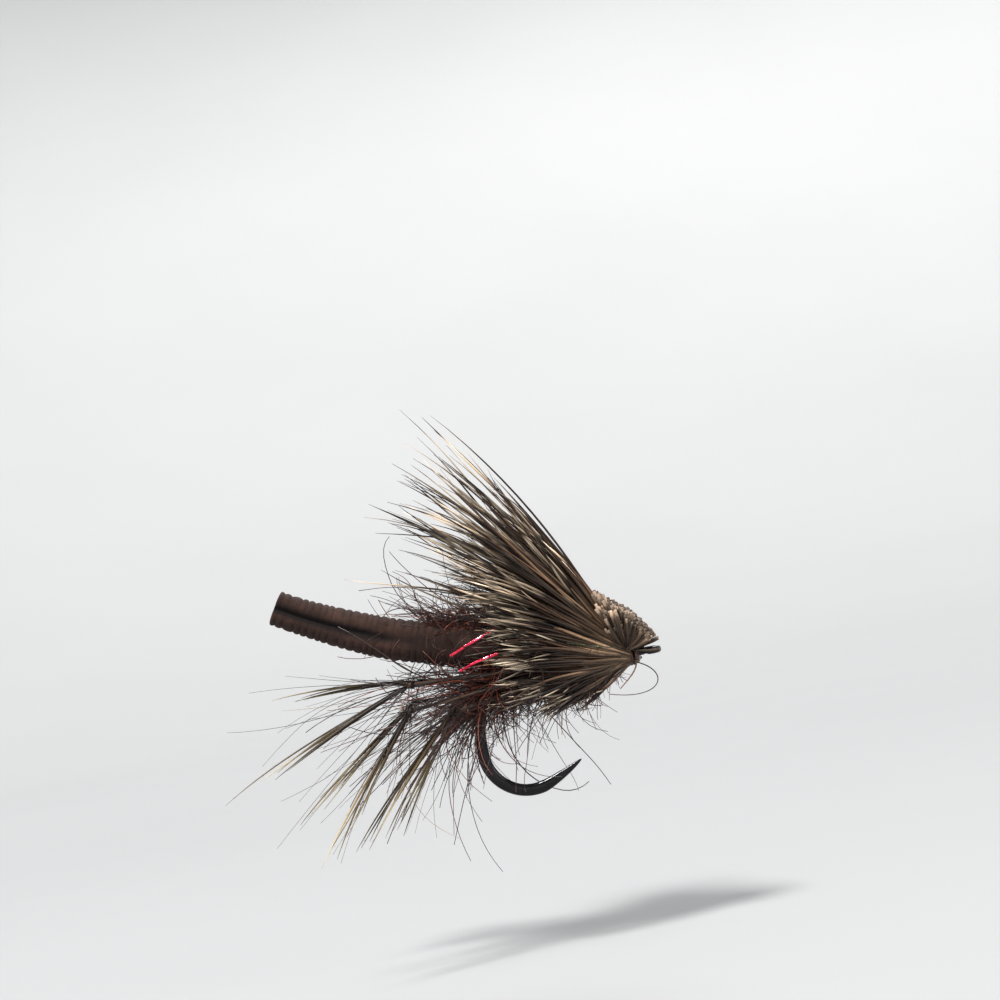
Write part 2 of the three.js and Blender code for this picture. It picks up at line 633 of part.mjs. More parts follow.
// The clipped head: butts flared over the top and sides of the binding, as an arch of one section.
function buildHead() {
  const seat = bindingOuter + CLEARANCE;
  const section = [
    [bindingRearX + 0.1, seat, 0],
    [whipFrontX, seat, 0],
    [eyeOuterRadius - 0.2, seat + 0.1, 0.1],
    [eyeOuterRadius - 0.5, seat + 0.25 * HEAD_HEIGHT, 0.6],
    [whipFrontX, seat + 0.6 * HEAD_HEIGHT, 0.9],
    [bindingRearX + 0.3, seat + 0.8 * HEAD_HEIGHT, 1],
    [bindingRearX - 0.6, seat + HEAD_HEIGHT, 1],
    [bindingRearX, seat + HEAD_HEIGHT / 2, 0.5],
  ];
  const rings = [];
  const steps = 16;
  for (let i = 0; i <= steps; i++) {
    const angle = mix(-HEAD_WRAP_ANGLE, HEAD_WRAP_ANGLE, i / steps);
    const shrink = HEAD_SIDE_SHRINK * smooth(Math.abs(angle) / HEAD_WRAP_ANGLE);
    rings.push(
      section.map(([x, radius, outer]) => {
        const ragged = 1 + 0.05 * outer * (i % 2);
        const r = seat + (radius - seat) * (1 - shrink * outer) * ragged;
        return new THREE.Vector3(x, r * Math.sin(angle), r * Math.cos(angle));
      }),
    );
  }
  return gridSolid(rings);
}
addPiece("head_hair", buildHead(), clippedHair);

// ---------------------------------------------------------------- flash
const flashBeside = -(foamRadius + CLEARANCE + FLASH_THICKNESS);
const besideFoam = ([back, up]) => new THREE.Vector3(foamFlexX - back, flashBeside, foamFlexZ + up);
const besideCollar = ([back, out, up]) => hairPoint(back, -out, up);

// A flat strand along a path.
function flash(name, points, material) {
  const path = new THREE.CatmullRomCurve3(points);
  const strip = new THREE.Shape();
  const [halfWidth, halfThickness] = [FLASH_WIDTH / 2, FLASH_THICKNESS / 2];
  strip.moveTo(-halfThickness, -halfWidth);
  strip.lineTo(halfThickness, -halfWidth);
  strip.lineTo(halfThickness, halfWidth);
  strip.lineTo(-halfThickness, halfWidth);
  strip.closePath();
  addPiece(name, new THREE.ExtrudeGeometry(strip, { steps: 8, extrudePath: path }), material);
}
flash("flash_red_upper", [[-1.2, 1.05], [0.2, 0.56], [2.1, -0.25]].map(besideFoam), redFlash);
flash("flash_red_lower", [[-1.2, -0.55], [0.3, -0.85], [1.65, -1.35]].map(besideFoam), redFlash);
flash("flash_green", [[0.2, 1.36, 0.6], [1.6, 1.86, 0.95], [3.6, 2.24, 1.55]].map(besideCollar), greenFlash);

export default fly;
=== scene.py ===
"""The looks of a foam-bodied daddy-long-legs dry fly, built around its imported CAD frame.

Lengths below are in millimetres, in the frame of the CAD model: the hook eye is the origin, +X runs forward
along the shank, +Y to the fly's left and +Z up. Meshes are scaled to metres when they are made.
"""
import json
import math

import bpy
import numpy as np
from mathutils import Matrix, Vector


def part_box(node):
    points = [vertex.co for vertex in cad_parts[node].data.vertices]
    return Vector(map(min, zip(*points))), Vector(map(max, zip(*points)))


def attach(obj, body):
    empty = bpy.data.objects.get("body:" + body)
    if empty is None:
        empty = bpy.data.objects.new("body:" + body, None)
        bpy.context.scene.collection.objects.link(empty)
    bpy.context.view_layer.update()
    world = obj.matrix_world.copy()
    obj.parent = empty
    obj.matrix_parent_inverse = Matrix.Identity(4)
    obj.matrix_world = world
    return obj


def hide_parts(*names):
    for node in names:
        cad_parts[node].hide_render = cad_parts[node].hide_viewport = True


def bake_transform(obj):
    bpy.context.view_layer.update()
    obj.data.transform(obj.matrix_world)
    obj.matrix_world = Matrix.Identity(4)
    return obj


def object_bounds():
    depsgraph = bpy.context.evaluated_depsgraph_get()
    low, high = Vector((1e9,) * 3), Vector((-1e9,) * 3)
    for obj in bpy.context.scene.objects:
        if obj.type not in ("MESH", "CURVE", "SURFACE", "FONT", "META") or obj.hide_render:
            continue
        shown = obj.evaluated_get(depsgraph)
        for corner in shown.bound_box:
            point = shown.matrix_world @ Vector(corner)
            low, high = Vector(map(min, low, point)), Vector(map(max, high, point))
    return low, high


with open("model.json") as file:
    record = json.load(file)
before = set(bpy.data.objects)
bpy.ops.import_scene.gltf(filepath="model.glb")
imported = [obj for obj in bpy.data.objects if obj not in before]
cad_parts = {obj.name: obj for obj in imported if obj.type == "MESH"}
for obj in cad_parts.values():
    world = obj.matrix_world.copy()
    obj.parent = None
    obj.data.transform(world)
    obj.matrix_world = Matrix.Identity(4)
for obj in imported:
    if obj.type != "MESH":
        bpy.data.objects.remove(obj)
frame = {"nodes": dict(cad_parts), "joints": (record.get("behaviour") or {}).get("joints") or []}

CAD_LOW, CAD_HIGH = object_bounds()
MM = 0.001
DEGREE = math.pi / 180
TURN = 2 * math.pi
X_AXIS, Y_AXIS, Z_AXIS = np.eye(3)

# ---------------------------------------------------------------- places and sizes, from the frame
JOINTS = {joint["name"]: np.array(joint["pos_m"]) / MM for joint in frame["joints"]}


def node_box(name):
    low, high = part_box(name)
    return np.array(low) / MM, np.array(high) / MM


def node_points(name):
    return np.array([vertex.co for vertex in frame["nodes"][name].data.vertices]) / MM


binding_low, binding_high = node_box("hair_binding_thread")
whip_low, whip_high = node_box("whip_finish")
band_low, band_high = node_box("foam_tie_band")
underbody_low, underbody_high = node_box("thread_underbody")
thorax_low, thorax_high = node_box("dubbing_thorax")
abdomen_low, abdomen_high = node_box("dubbing_abdomen")

FLEX = JOINTS["foam_flex"]
FOAM_RADIUS = node_box("foam_body_tail")[1][1]
FOAM_UNDERSIDE = FLEX[2] - FOAM_RADIUS
BINDING_RADIUS = binding_high[2]
HAIR_ROOT = np.array([binding_low[0], 0.0, 0.0])

# ---------------------------------------------------------------- driving dimensions of the looks
WIRE_RADIUS = 0.3
EYE_WIRE_RADIUS = 0.24
EYE_RING_RADIUS = 0.51
SHANK_LENGTH = 8.9
SHANK_END = (-SHANK_LENGTH, 0, 0)
HEEL = (2.9, 68 * DEGREE)  # radius and turn of each stretch of the bend
BACK = (7.5, 26 * DEGREE)
BELLY = (2.9, 109 * DEGREE)
SPEAR = (2.7 / (9 * DEGREE), 9 * DEGREE)
FORGED_HALF_WIDTH = 0.41
FORGED_HALF_THICKNESS = 0.25
POINT_TAPER = 1.15  # length of the taper to the point, as a share of the spear
EYE_OPENING = 28 * DEGREE  # between the wire's tapered end and the shank
EYE_NECK = 6 * DEGREE  # where the ring leaves its circle to run into the shank
BEND_STEP = 0.11

FOAM_FREE_LENGTH = 14.0
FOAM_RISE_START = 11 * DEGREE
FOAM_RISE_END = 30 * DEGREE
FOAM_RIB_PITCH = 0.52
FOAM_RIB_DEPTH = 0.135
FOAM_END_SHARE = 0.84  # width of the cut end, as a share of the foam's
FOAM_END_ROUNDING = 0.12
FOAM_GROOVE_DEPTH = 0.52
FOAM_GROOVE_TURN = 0.3  # half width of the groove, in radians round the foam
FOAM_PLAIN_TURN = 0.95  # how far the ribs fade beside the groove
FOAM_TIED_HALF_WIDTH = 0.55
FOAM_TIED_HALF_HEIGHT = 0.34
FOAM_SWELL = 1.6  # from the band back to where the foam is full again
FOAM_ROWS_PER_RIB = 12
FOAM_SIDES = 128

HAIR_RADIUS = 0.098
HAIR_STEPS = 15
BUTT_RADIUS = 0.108
LONGEST_BUTT = 4.4
SHORTEST_BUTT = 0.4
FIBRE_RADIUS = 0.036
LEG_FIBRE_RADIUS = 0.062
BARBULE_RADIUS = 0.014
BARBULE_STEPS = 5
THIGH_STEPS = 40
SHIN_STEPS = 44
STRAY_STEPS = 16
KNOT_STEPS = 64
THREAD_RADIUS = 0.055
WHIP_THREAD_RADIUS = 0.048
THREAD_SPACING = 2.05  # between turns, in thread radii
THREAD_WANDER = 0.006
HELIX_STEPS = 40  # in each turn
UNDERFUR = 2.0  # fibres that start shorter than this cover the whole of their lump

STRAND_SECTIONS = 9  # in a CAD strand
FILM_HALF_THICKNESS = 0.014
FUR_STEPS = 16
LUMP_BUMPS = 0.16
LUMP_ROWS = 46
LUMP_SIDES = 56

CELL_ASPECT = 6  # columns for each row of cells in a map

SHANK_SLOPE = 9.65 * DEGREE  # how far the camera is rolled, so that the shank slopes down to the rear
VIEW_WIDTH = 200 / 3  # across the picture, at the fly
LENS = 100.0
SENSOR_WIDTH = 36.0

FLOOR_GAP = 9  # from the lowest point of the CAD to the floor
FLAT_RADIUS = 260  # the floor is flat inside it and turns up beyond it
BOWL_WIDTH = 1300
BOWL_HEIGHT = 620


# ---------------------------------------------------------------- mesh making
def smooth(t):
    t = np.clip(t, 0, 1)
    return t * t * (3 - 2 * t)


def mix(a, b, t):
    return a + (b - a) * t


def spaced(count):
    """Shares from 0 to 1, evenly spaced."""
    return np.linspace(0, 1, count)


def unit(v):
    return v / np.maximum(np.linalg.norm(v, axis=-1, keepdims=True), 1e-9)


def bezier(points, t):
    """Points on one or many cubic curves. points is four arrays (..., 3); t is (steps,)."""
    p0, p1, p2, p3 = (np.asarray(p, float)[..., None, :] for p in points)
    t = np.asarray(t)[:, None]
    return (1 - t) ** 3 * p0 + 3 * (1 - t) ** 2 * t * p1 + 3 * (1 - t) * t**2 * p2 + t**3 * p3


def sweep(lines, half_size, other_half_size=None, sides=5, reference=None, square=1.0):
    """Rings (strands, steps, sides, 3) round the lines (strands, steps, 3).

    half_size is measured towards the reference direction, and other_half_size square to it. A value of square
    below 1 gives the section flats."""
    lines = np.asarray(lines, float)
    if lines.ndim == 2:
        lines = lines[None]
    other_half_size = half_size if other_half_size is None else other_half_size
    half_size = np.broadcast_to(half_size, lines.shape[:2])[..., None, None]
    other_half_size = np.broadcast_to(other_half_size, lines.shape[:2])[..., None, None]
    tangent = unit(np.gradient(lines, axis=1))
    if reference is None:
        mean = unit(lines[:, -1] - lines[:, 0] + 1e-6)
        reference = np.eye(3)[np.abs(mean).argmin(1)][:, None]
    reference = np.broadcast_to(reference, lines.shape)
    normal = unit(reference - (reference * tangent).sum(-1, keepdims=True) * tangent)
    other = np.cross(tangent, normal)
    angle = (np.arange(sides) + 0.5) / sides * TURN
    cosine = (np.sign(np.cos(angle)) * np.abs(np.cos(angle)) ** square)[:, None]
    sine = (np.sign(np.sin(angle)) * np.abs(np.sin(angle)) ** square)[:, None]
    return (
        lines[:, :, None]
        + half_size * cosine * normal[:, :, None]
        + other_half_size * sine * other[:, :, None]
    )


def tube_faces(first, n, k, s):
    """Corners of n closed tubes of k rings with s sides, in the order start caps, end caps and sides."""
    index = first + np.arange(n * k * s).reshape(n, k, s)
    after = np.roll(index, -1, axis=2)
    quads = np.stack([index[:, :-1], after[:, :-1], after[:, 1:], index[:, 1:]], -1)
    corners = [index[:, 0, ::-1].reshape(-1), index[:, -1].reshape(-1), quads.reshape(-1)]
    sizes = [np.full(n, s), np.full(n, s), np.full(n * (k - 1) * s, 4)]
    return corners, sizes


def tube_map(cells, columns, rows, k, s):
    """Map places for tube_faces, with each tube inside its own cell of a grid of columns and rows."""
    u0, v0 = (cells % columns) / columns, (cells // columns) / rows
    cap_angle = np.arange(s) / s * TURN
    cap_u = u0[:, None] + (0.5 + 0.3 * np.cos(cap_angle)) / columns
    caps = [
        np.stack([cap_u, v0[:, None] + (height + 0.02 * np.sin(cap_angle)) / rows], -1).reshape(-1, 2)
        for height in (0.03, 0.97)
    ]
    side = np.stack([np.arange(s), np.arange(s) + 1, np.arange(s) + 1, np.arange(s)], -1) / s
    ring, next_ring = np.arange(k - 1), np.arange(1, k)
    step = np.stack([ring, ring, next_ring, next_ring], -1) / (k - 1)
    u = u0[:, None, None, None] + (0.08 + 0.84 * side[None, None]) / columns
    v = v0[:, None, None, None] + (0.06 + 0.88 * step[None, :, None]) / rows
    return caps + [np.stack(np.broadcast_arrays(u, v), -1).reshape(-1, 2)]


def make_mesh(name, points, corners, sizes, uv, attributes):
    mesh = bpy.data.meshes.new(name)
    mesh.vertices.add(len(points))
    mesh.vertices.foreach_set("co", (points * MM).astype(np.float32).ravel())
    mesh.loops.add(len(corners))
    mesh.loops.foreach_set("vertex_index", corners.astype(np.int32))
    mesh.polygons.add(len(sizes))
    starts = np.concatenate([[0], np.cumsum(sizes)[:-1]])
    mesh.polygons.foreach_set("loop_start", starts.astype(np.int32))
    mesh.polygons.foreach_set("use_smooth", sizes == 4)
    mesh.update(calc_edges=True)
    layer = mesh.uv_layers.new(name="OFBake")
    layer.data.foreach_set("uv", uv.astype(np.float32).ravel())
    for label, values in attributes.items():
        attribute = mesh.attributes.new(label, "FLOAT", "POINT")
        attribute.data.foreach_set("value", values.astype(np.float32))
    mesh.validate()
    return mesh


def add_object(name, data):
    made = bpy.data.objects.new(name, data)
    bpy.context.scene.collection.objects.link(made)
    return made


def make_piece(name, rings, material, nodes, body="fly_core", tint=None, along=None, columns=None):
    """A mesh piece from closed tubes, each with its own cell in the map.

    rings is a list of arrays (strands, steps, sides, 3). tint and along are lists to match it, with a value
    for each strand and a value for each step or point. Without them tint is random and along runs 0 to 1."""
    total = sum(len(group) for group in rings)
    columns = columns or round(math.sqrt(total * CELL_ASPECT))
    rows = math.ceil(total / columns)
    rng = np.random.default_rng(len(name) + total)
    corners, sizes, uv, tints, alongs = [], [], [], [], []
    first, strand = 0, 0
    for number, group in enumerate(rings):
        n, k, s, _ = group.shape
        group_corners, group_sizes = tube_faces(first, n, k, s)
        corners += group_corners
        sizes += group_sizes
        uv += tube_map(strand + np.arange(n), columns, rows, k, s)
        given = tint[number] if tint else rng.random(n)
        tints.append(np.repeat(given, k * s))
        place = np.asarray(along[number] if along else spaced(k))
        place = place if place.ndim == 3 else place[..., :, None]
        alongs.append(np.broadcast_to(place, (n, k, s)).reshape(-1))
        first += n * k * s
        strand += n
    points = np.concatenate([group.reshape(-1, 3) for group in rings])
    attributes = {"tint": np.concatenate(tints), "along": np.concatenate(alongs)}
    corners, sizes, uv = (np.concatenate(parts) for parts in (corners, sizes, uv))
    mesh = make_mesh(name, points, corners, sizes, uv, attributes)
    mesh.materials.append(material)
    piece = add_object(name, mesh)
    if body:
        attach(piece, body)
    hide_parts(*nodes)
    return piece


# ---------------------------------------------------------------- materials
class Surface:
    """One Principled material and short calls for the nodes that feed it."""

    def __init__(self, name, **sockets):
        self.material = bpy.data.materials.new(name)
        self.material.use_nodes = True
        self.tree = self.material.node_tree
        self.shader = self.tree.nodes["Principled BSDF"]
        for socket, value in sockets.items():
            self.shader.inputs[socket.replace("_", " ")].default_value = value

    def feed(self, socket, value):
        """Gives a socket a link, a colour or a number."""
        if isinstance(value, bpy.types.NodeSocket):
            self.tree.links.new(value, socket)
        else:
            socket.default_value = (*value, 1) if socket.type == "RGBA" else value

    def node(self, kind, inputs=None, **settings):
        made = self.tree.nodes.new(kind)
        for key, value in settings.items():
            setattr(made, key, value)
        for key, value in (inputs or {}).items():
            self.feed(made.inputs[key], value)
        return made

    def attribute(self, name):
        return self.node("ShaderNodeAttribute", attribute_name=name).outputs["Fac"]

    def place(self):
        return self.node("ShaderNodeTexCoord").outputs["Object"]

    def noise(self, scale, detail=3.0, roughness=0.5, stretch=None):
        place = self.place()
        if stretch:
            place = self.node("ShaderNodeMapping", {"Vector": place, "Scale": stretch}).outputs["Vector"]
        inputs = {"Vector": place, "Scale": scale, "Detail": detail, "Roughness": roughness}
        return self.node("ShaderNodeTexNoise", inputs).outputs["Fac"]

    def cells(self, scale):
        return self.node("ShaderNodeTexVoronoi", {"Vector": self.place(), "Scale": scale}).outputs["Distance"]

    def math(self, operation, a, b):
        return self.node("ShaderNodeMath", {0: a, 1: b}, operation=operation).outputs[0]

    def ramp(self, factor, stops):
        made = self.node("ShaderNodeValToRGB", {"Fac": factor})
        elements = made.color_ramp.elements
        while len(elements) < len(stops):
            elements.new(0.5)
        for element, (place, colour) in zip(elements, stops):
            element.position = place
            element.color = (*colour, 1)
        return made.outputs["Color"]

    def blend(self, factor, a, b, mode="MIX"):
        inputs = {0: factor, 6: a, 7: b}
        return self.node("ShaderNodeMix", inputs, data_type="RGBA", blend_type=mode).outputs[2]

    def grey(self, level):
        return self.node("ShaderNodeCombineColor", {0: level, 1: level, 2: level}).outputs[0]

    def remap(self, factor, low, high, from_low=0.0, from_high=1.0):
        inputs = {0: factor, 1: from_low, 2: from_high, 3: low, 4: high}
        return self.node("ShaderNodeMapRange", inputs).outputs["Result"]

    def colour(self, output):
        self.feed(self.shader.inputs["Base Color"], output)

    def rough(self, output):
        self.feed(self.shader.inputs["Roughness"], output)

    def bump(self, height, distance, strength=1.0):
        inputs = {"Height": height, "Distance": distance, "Strength": strength}
        self.feed(self.shader.inputs["Normal"], self.node("ShaderNodeBump", inputs).outputs["Normal"])


def srgb(red, green, blue):
    """A colour given as it looks, from 0 to 255, in the linear values that the shader takes."""
    shares = (red / 255, green / 255, blue / 255)
    return tuple((v / 12.92 if v <= 0.04045 else ((v + 0.055) / 1.055) ** 2.4) for v in shares)


def tones(*stops):
    """Stops for a ramp, given as (place, red, green, blue)."""
    return [(place, srgb(*colour)) for place, *colour in stops]


def hook_material():
    made = Surface("black_nickel_wire", Metallic=1.0, Coat_Weight=0.3, Coat_Roughness=0.04)
    made.colour(made.ramp(made.noise(900, 4), tones((0.3, 22, 21, 22), (0.7, 34, 32, 34))))
    made.rough(made.remap(made.noise(2600, 5), 0.1, 0.2))
    made.bump(made.noise(5200, 2), 1.5e-6, 0.3)
    return made.material


def foam_material():
    made = Surface("brown_closed_cell_foam", Sheen_Weight=0.04, Sheen_Roughness=0.6)
    made.shader.inputs["Specular IOR Level"].default_value = 0.12
    patches = made.ramp(
        made.noise(620, 6, 0.62),
        tones((0.3, 28, 17, 14), (0.5, 39, 25, 20), (0.72, 55, 37, 31)),
    )
    pores = made.remap(made.cells(9000), 0.55, 1.0, 0.05, 0.45)
    # Painted shade and painted highlight: on the foam, along holds how lit each place is, so the rib valleys
    # and the groove are painted darker and the rib crests lighter.
    low = made.blend(made.remap(made.attribute("along"), 1.0, 0.0, 0.0, 0.4), patches, srgb(16, 10, 8))
    lit_crests = made.blend(made.remap(made.attribute("along"), 0.0, 0.7, 0.5, 1.0), low, srgb(76, 52, 43))
    made.colour(made.blend(1.0, lit_crests, made.grey(pores), "MULTIPLY"))
    made.rough(made.remap(made.noise(2400, 3), 0.78, 0.95))
    skin = made.math("MULTIPLY", made.cells(9000), 0.7)
    made.bump(made.math("ADD", skin, made.noise(5200, 5)), 2.2e-5, 0.8)
    return made.material


def hair_material(name, stops, roughness=(0.3, 0.44), levels=(0.36, 2.1)):
    """Hair coloured along its length. Each hair's tint moves its bands and makes it lighter or darker."""
    made = Surface(name)
    made.shader.inputs["Specular IOR Level"].default_value = 0.3
    tint = made.attribute("tint")
    other = made.math("FRACT", made.math("MULTIPLY", tint, 7.13), 0)
    moved = made.math("ADD", made.attribute("along"), made.remap(other, -0.16, 0.14))
    banded = made.ramp(moved, stops)
    streak = made.remap(made.noise(7000, 3, 0.6, (0.25, 1, 1)), 0.78, 1.2)
    level = made.math("MULTIPLY", streak, made.remap(made.math("POWER", tint, 3.2), *levels))
    darker = made.math("FRACT", made.math("MULTIPLY", tint, 23.7), 0)
    level = made.math("MULTIPLY", level, made.remap(darker, 0.38, 1.3))
    made.colour(made.blend(1.0, banded, made.grey(level), "MULTIPLY"))
    made.rough(made.remap(made.noise(5000, 2), *roughness))
    return made.material


def fur_material():
    made = Surface("red_brown_fur")
    tint = made.attribute("tint")
    by_fibre = made.ramp(
        tint,
        tones(
            (0.0, 22, 11, 8), (0.4, 40, 17, 11), (0.66, 62, 26, 15), (0.88, 96, 38, 21),
            (1.0, 132, 62, 34),
        ),
    )
    made.colour(made.blend(made.remap(made.attribute("along"), 0.0, 0.3), by_fibre, srgb(40, 16, 10)))
    made.rough(made.remap(made.noise(5000, 2), 0.25, 0.45))
    return made.material


def thread_material():
    made = Surface("waxed_brown_thread", Coat_Weight=0.25, Coat_Roughness=0.25)
    stops = tones((0.3, 34, 16, 11), (0.6, 60, 28, 18), (0.8, 94, 48, 30))
    made.colour(made.ramp(made.noise(6000, 3), stops))
    made.rough(made.remap(made.noise(3000, 2), 0.35, 0.6))
    made.bump(made.noise(24000, 2, 0.5, (3, 1, 1)), 6e-6, 0.7)
    return made.material


def cement_material():
    made = Surface(
        "clear_head_cement", Transmission_Weight=0.92, IOR=1.46, Coat_Weight=0.4, Coat_Roughness=0.03
    )
    made.colour(made.ramp(made.noise(1500, 2), tones((0.3, 128, 58, 34), (0.7, 168, 92, 58))))
    made.rough(made.remap(made.noise(2500, 2), 0.02, 0.1))
    return made.material


def flash_material(name, dark, light, metallic, glow, edge):
    made = Surface(name, Metallic=metallic, Coat_Weight=metallic, Coat_Roughness=0.05)
    # Painted light: the film glows with its light colour, though it is no lamp.
    made.shader.inputs["Emission Strength"].default_value = glow
    made.feed(made.shader.inputs["Emission Color"], light)
    # Painted glints: noise paints bright spots of the light colour along a darker film, as sparkles.
    made.colour(made.ramp(made.noise(9000, 4, 0.7), [(edge, dark), (edge + 0.14, light)]))
    made.rough(made.remap(made.noise(12000, 2), 0.1, 0.35))
    made.bump(made.noise(9000, 3), 1.5e-5, 0.6)
    return made.material


# ---------------------------------------------------------------- hook
def arc_line(stretches, start, heading, step):
    """Points along stretches of (radius, turn) in the XZ plane, heading measured from -X down towards -Z."""
    points = [np.array(start, float)]
    for radius, turn in stretches:
        pieces = max(2, math.ceil(radius * turn / step))
        for _ in range(pieces):
            heading += turn / pieces / 2
            length = radius * turn / pieces
            points.append(points[-1] + length * np.array([-math.cos(heading), 0, -math.sin(heading)]))
            heading += turn / pieces / 2
    return np.array(points)


def hook_line():
    """The wire from the end that closes the eye, round the eye, along the shank and round the bend."""
    angles = np.linspace(math.pi + EYE_OPENING, 3 * math.pi - EYE_NECK, 56)
    ring = EYE_RING_RADIUS * np.stack([np.cos(angles), np.sin(angles), 0 * angles], -1)
    shank = np.linspace([-EYE_RING_RADIUS * 1.45, 0, 0], SHANK_END, 60)
    bend = arc_line((HEEL, BACK, BELLY, SPEAR), SHANK_END, 0, BEND_STEP)[1:]
    return np.concatenate([ring, shank, bend]), len(ring)


def build_hook():
    """Round wire in front, forged flat round the bend, and tapered to the point."""
    line, ring_count = hook_line()
    travelled = np.concatenate([[0], np.cumsum(np.linalg.norm(np.diff(line, axis=0), axis=1))])
    left = travelled[-1] - travelled
    past_eye = travelled - travelled[ring_count]
    spear_length = SPEAR[0] * SPEAR[1]
    back_length = BACK[0] * BACK[1]
    forged = smooth((spear_length + BELLY[0] * BELLY[1] + back_length - left) / back_length)
    wire = mix(EYE_WIRE_RADIUS, WIRE_RADIUS, smooth(past_eye / 1.0))
    point = mix(0.02, 1, np.clip(left / (spear_length * POINT_TAPER), 0, 1) ** 0.6)
    eye_end = mix(0.35, 1, smooth(travelled / 0.5))
    narrowing = point * eye_end
    half_width = mix(wire, FORGED_HALF_WIDTH, forged) * narrowing
    half_thickness = mix(wire, FORGED_HALF_THICKNESS, forged) * narrowing
    turned = smooth((past_eye + 0.1) / 0.6)[:, None]
    reference = unit(mix(Z_AXIS[None], Y_AXIS[None], turned))
    rings = sweep(line, half_thickness, half_width, sides=28, reference=reference, square=0.8)
    return make_piece("hook_wire", [rings], hook_material(), ["hook"])


# ---------------------------------------------------------------- foam
def foam_centre(s):
    """The foam's centre line, s behind the flex point. In front of that the foam lies on the shank."""
    curve = (FOAM_RISE_END - FOAM_RISE_START) / FOAM_FREE_LENGTH
    behind = np.maximum(s, 0)
    rise = FOAM_RISE_START + curve * behind
    back = (np.sin(rise) - math.sin(FOAM_RISE_START)) / curve
    up = (math.cos(FOAM_RISE_START) - np.cos(rise)) / curve
    ahead = np.minimum(s, 0)
    slope = math.tan(FOAM_RISE_START)
    sink = slope * ahead * (1 + 0.25 * ahead) * (ahead > -2)
    return np.stack([FLEX[0] - back - ahead, 0 * s, FLEX[2] + up + sink * 0.3], -1)


def foam_outline():
    """The foam's stations: how far back, the centre, the half width and half height, the share left at the cut
    end, and how far the foam has opened from where the thread presses it flat."""
    front = band_high[0] - FLEX[0]
    pressed = band_low[0] - FLEX[0]
    full = pressed - FOAM_SWELL
    s = np.arange(-front, FOAM_FREE_LENGTH - FOAM_END_ROUNDING, FOAM_RIB_PITCH / FOAM_ROWS_PER_RIB)
    centre = foam_centre(s)
    opening = np.sin(np.clip((s + pressed) / (pressed - full), 0, 1) * math.pi / 2) ** 0.8
    half_width = mix(FOAM_TIED_HALF_WIDTH, FOAM_RADIUS, opening)
    half_height = mix(FOAM_TIED_HALF_HEIGHT, FOAM_RADIUS, opening)
    floor = mix(underbody_high[2] + 0.05, FOAM_UNDERSIDE, smooth(opening * 3))
    level = mix(floor + half_height, FLEX[2], smooth((s + 1.5) / 1.5))
    centre[:, 2] = np.where(s < 0, level, centre[:, 2])
    slim = mix(1, FOAM_END_SHARE, smooth((s / FOAM_FREE_LENGTH - 0.4) / 0.6))
    # The cut end: a rounded edge, then a flat face drawn in to its middle.
    edge = [(0.03, 0.995), (0.06, 0.975), (0.09, 0.94), (0.11, 0.9), (FOAM_END_ROUNDING, 0.84)]
    face = [(0.118, share) for share in np.linspace(0.78, 0.01, 22)]
    steps, shares = np.array(edge + face).T
    s_end = s[-1] + steps
    end_share = np.concatenate([np.ones(len(s)), shares])
    centre = np.concatenate([centre, foam_centre(s_end)])
    half_width, half_height, slim, opening = (
        np.concatenate([v, np.full(len(steps), v[-1])]) for v in (half_width, half_height, slim, opening)
    )
    return np.concatenate([s, s_end]), centre, half_width * slim, half_height * slim, end_share, opening


def foam_wobble(s, angle):
    """Slow unevenness over the foam's surface."""
    rng = np.random.default_rng(3)
    round_turns, along_rate = rng.integers(1, 5, 10), rng.uniform(-2.2, 2.2, 10)
    size, phase = rng.uniform(0.004, 0.012, 10), rng.uniform(0, 6, 10)
    return sum(
        size[i] * np.cos(round_turns[i] * angle[None] + along_rate[i] * s[:, None] + phase[i])
        for i in range(10)
    )


def build_foam():
    """One continuous ribbed strip of foam, pressed flat at the front where the thread binds it."""
    s, centre, half_width, half_height, end_share, opening = foam_outline()
    tangent = unit(np.gradient(foam_centre(s), axis=0))
    tangent[s < 0] = unit(np.gradient(centre, axis=0))[s < 0]
    up = unit(np.cross(tangent, -Y_AXIS[None]))
    up[up[:, 2] < 0] *= -1
    angle = np.arange(FOAM_SIDES) / FOAM_SIDES * TURN
    uneven = 0.1 * np.sin(1.7 * s) + 0.06 * np.sin(4.1 * s + 1)
    rib_phase = ((s + uneven) % FOAM_RIB_PITCH) / FOAM_RIB_PITCH
    rib = np.abs(np.sin(math.pi * rib_phase)) ** 0.55  # rounded ridges, narrow valleys
    groove_start = smooth((s / FOAM_FREE_LENGTH - 0.15) / 0.5)[:, None]
    from_groove = np.arctan2(np.sin(angle - math.pi), np.cos(angle - math.pi))[None]
    groove_shape = groove_start * np.exp(-((from_groove / FOAM_GROOVE_TURN) ** 2))
    ribbed = 1 - 0.88 * np.exp(-((from_groove / FOAM_PLAIN_TURN) ** 2))  # the ribs fade beside the groove
    ribs = FOAM_RIB_DEPTH * (1 - rib)[:, None] * ribbed * opening[:, None]
    relief = (ribs, FOAM_GROOVE_DEPTH * groove_shape, foam_wobble(s, angle))
    reach_w, reach_h = (
        (half[:, None] - relief[0] - relief[1] + relief[2]) * end_share[:, None]
        for half in (half_width, half_height)
    )
    rings = (
        centre[:, None]
        + (reach_w * np.cos(angle))[..., None] * Y_AXIS
        + (reach_h * np.sin(angle))[..., None] * up[:, None]
    )
    # Painted light for the foam's colour, carried in along: lighter on the rib crests, darker in the rib
    # valleys and the groove.
    crest = mix(0.62, rib[:, None], ribbed)
    light = np.clip(0.15 + 0.55 * crest - 0.75 * groove_shape, 0, 1)
    foam = make_piece(
        "foam_body", [rings[None, :, ::-1]], foam_material(),
        ["foam_body_front", "foam_body_tail"], body=None, along=[light[None, :, ::-1]], columns=1,
    )
    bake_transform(foam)
    return foam


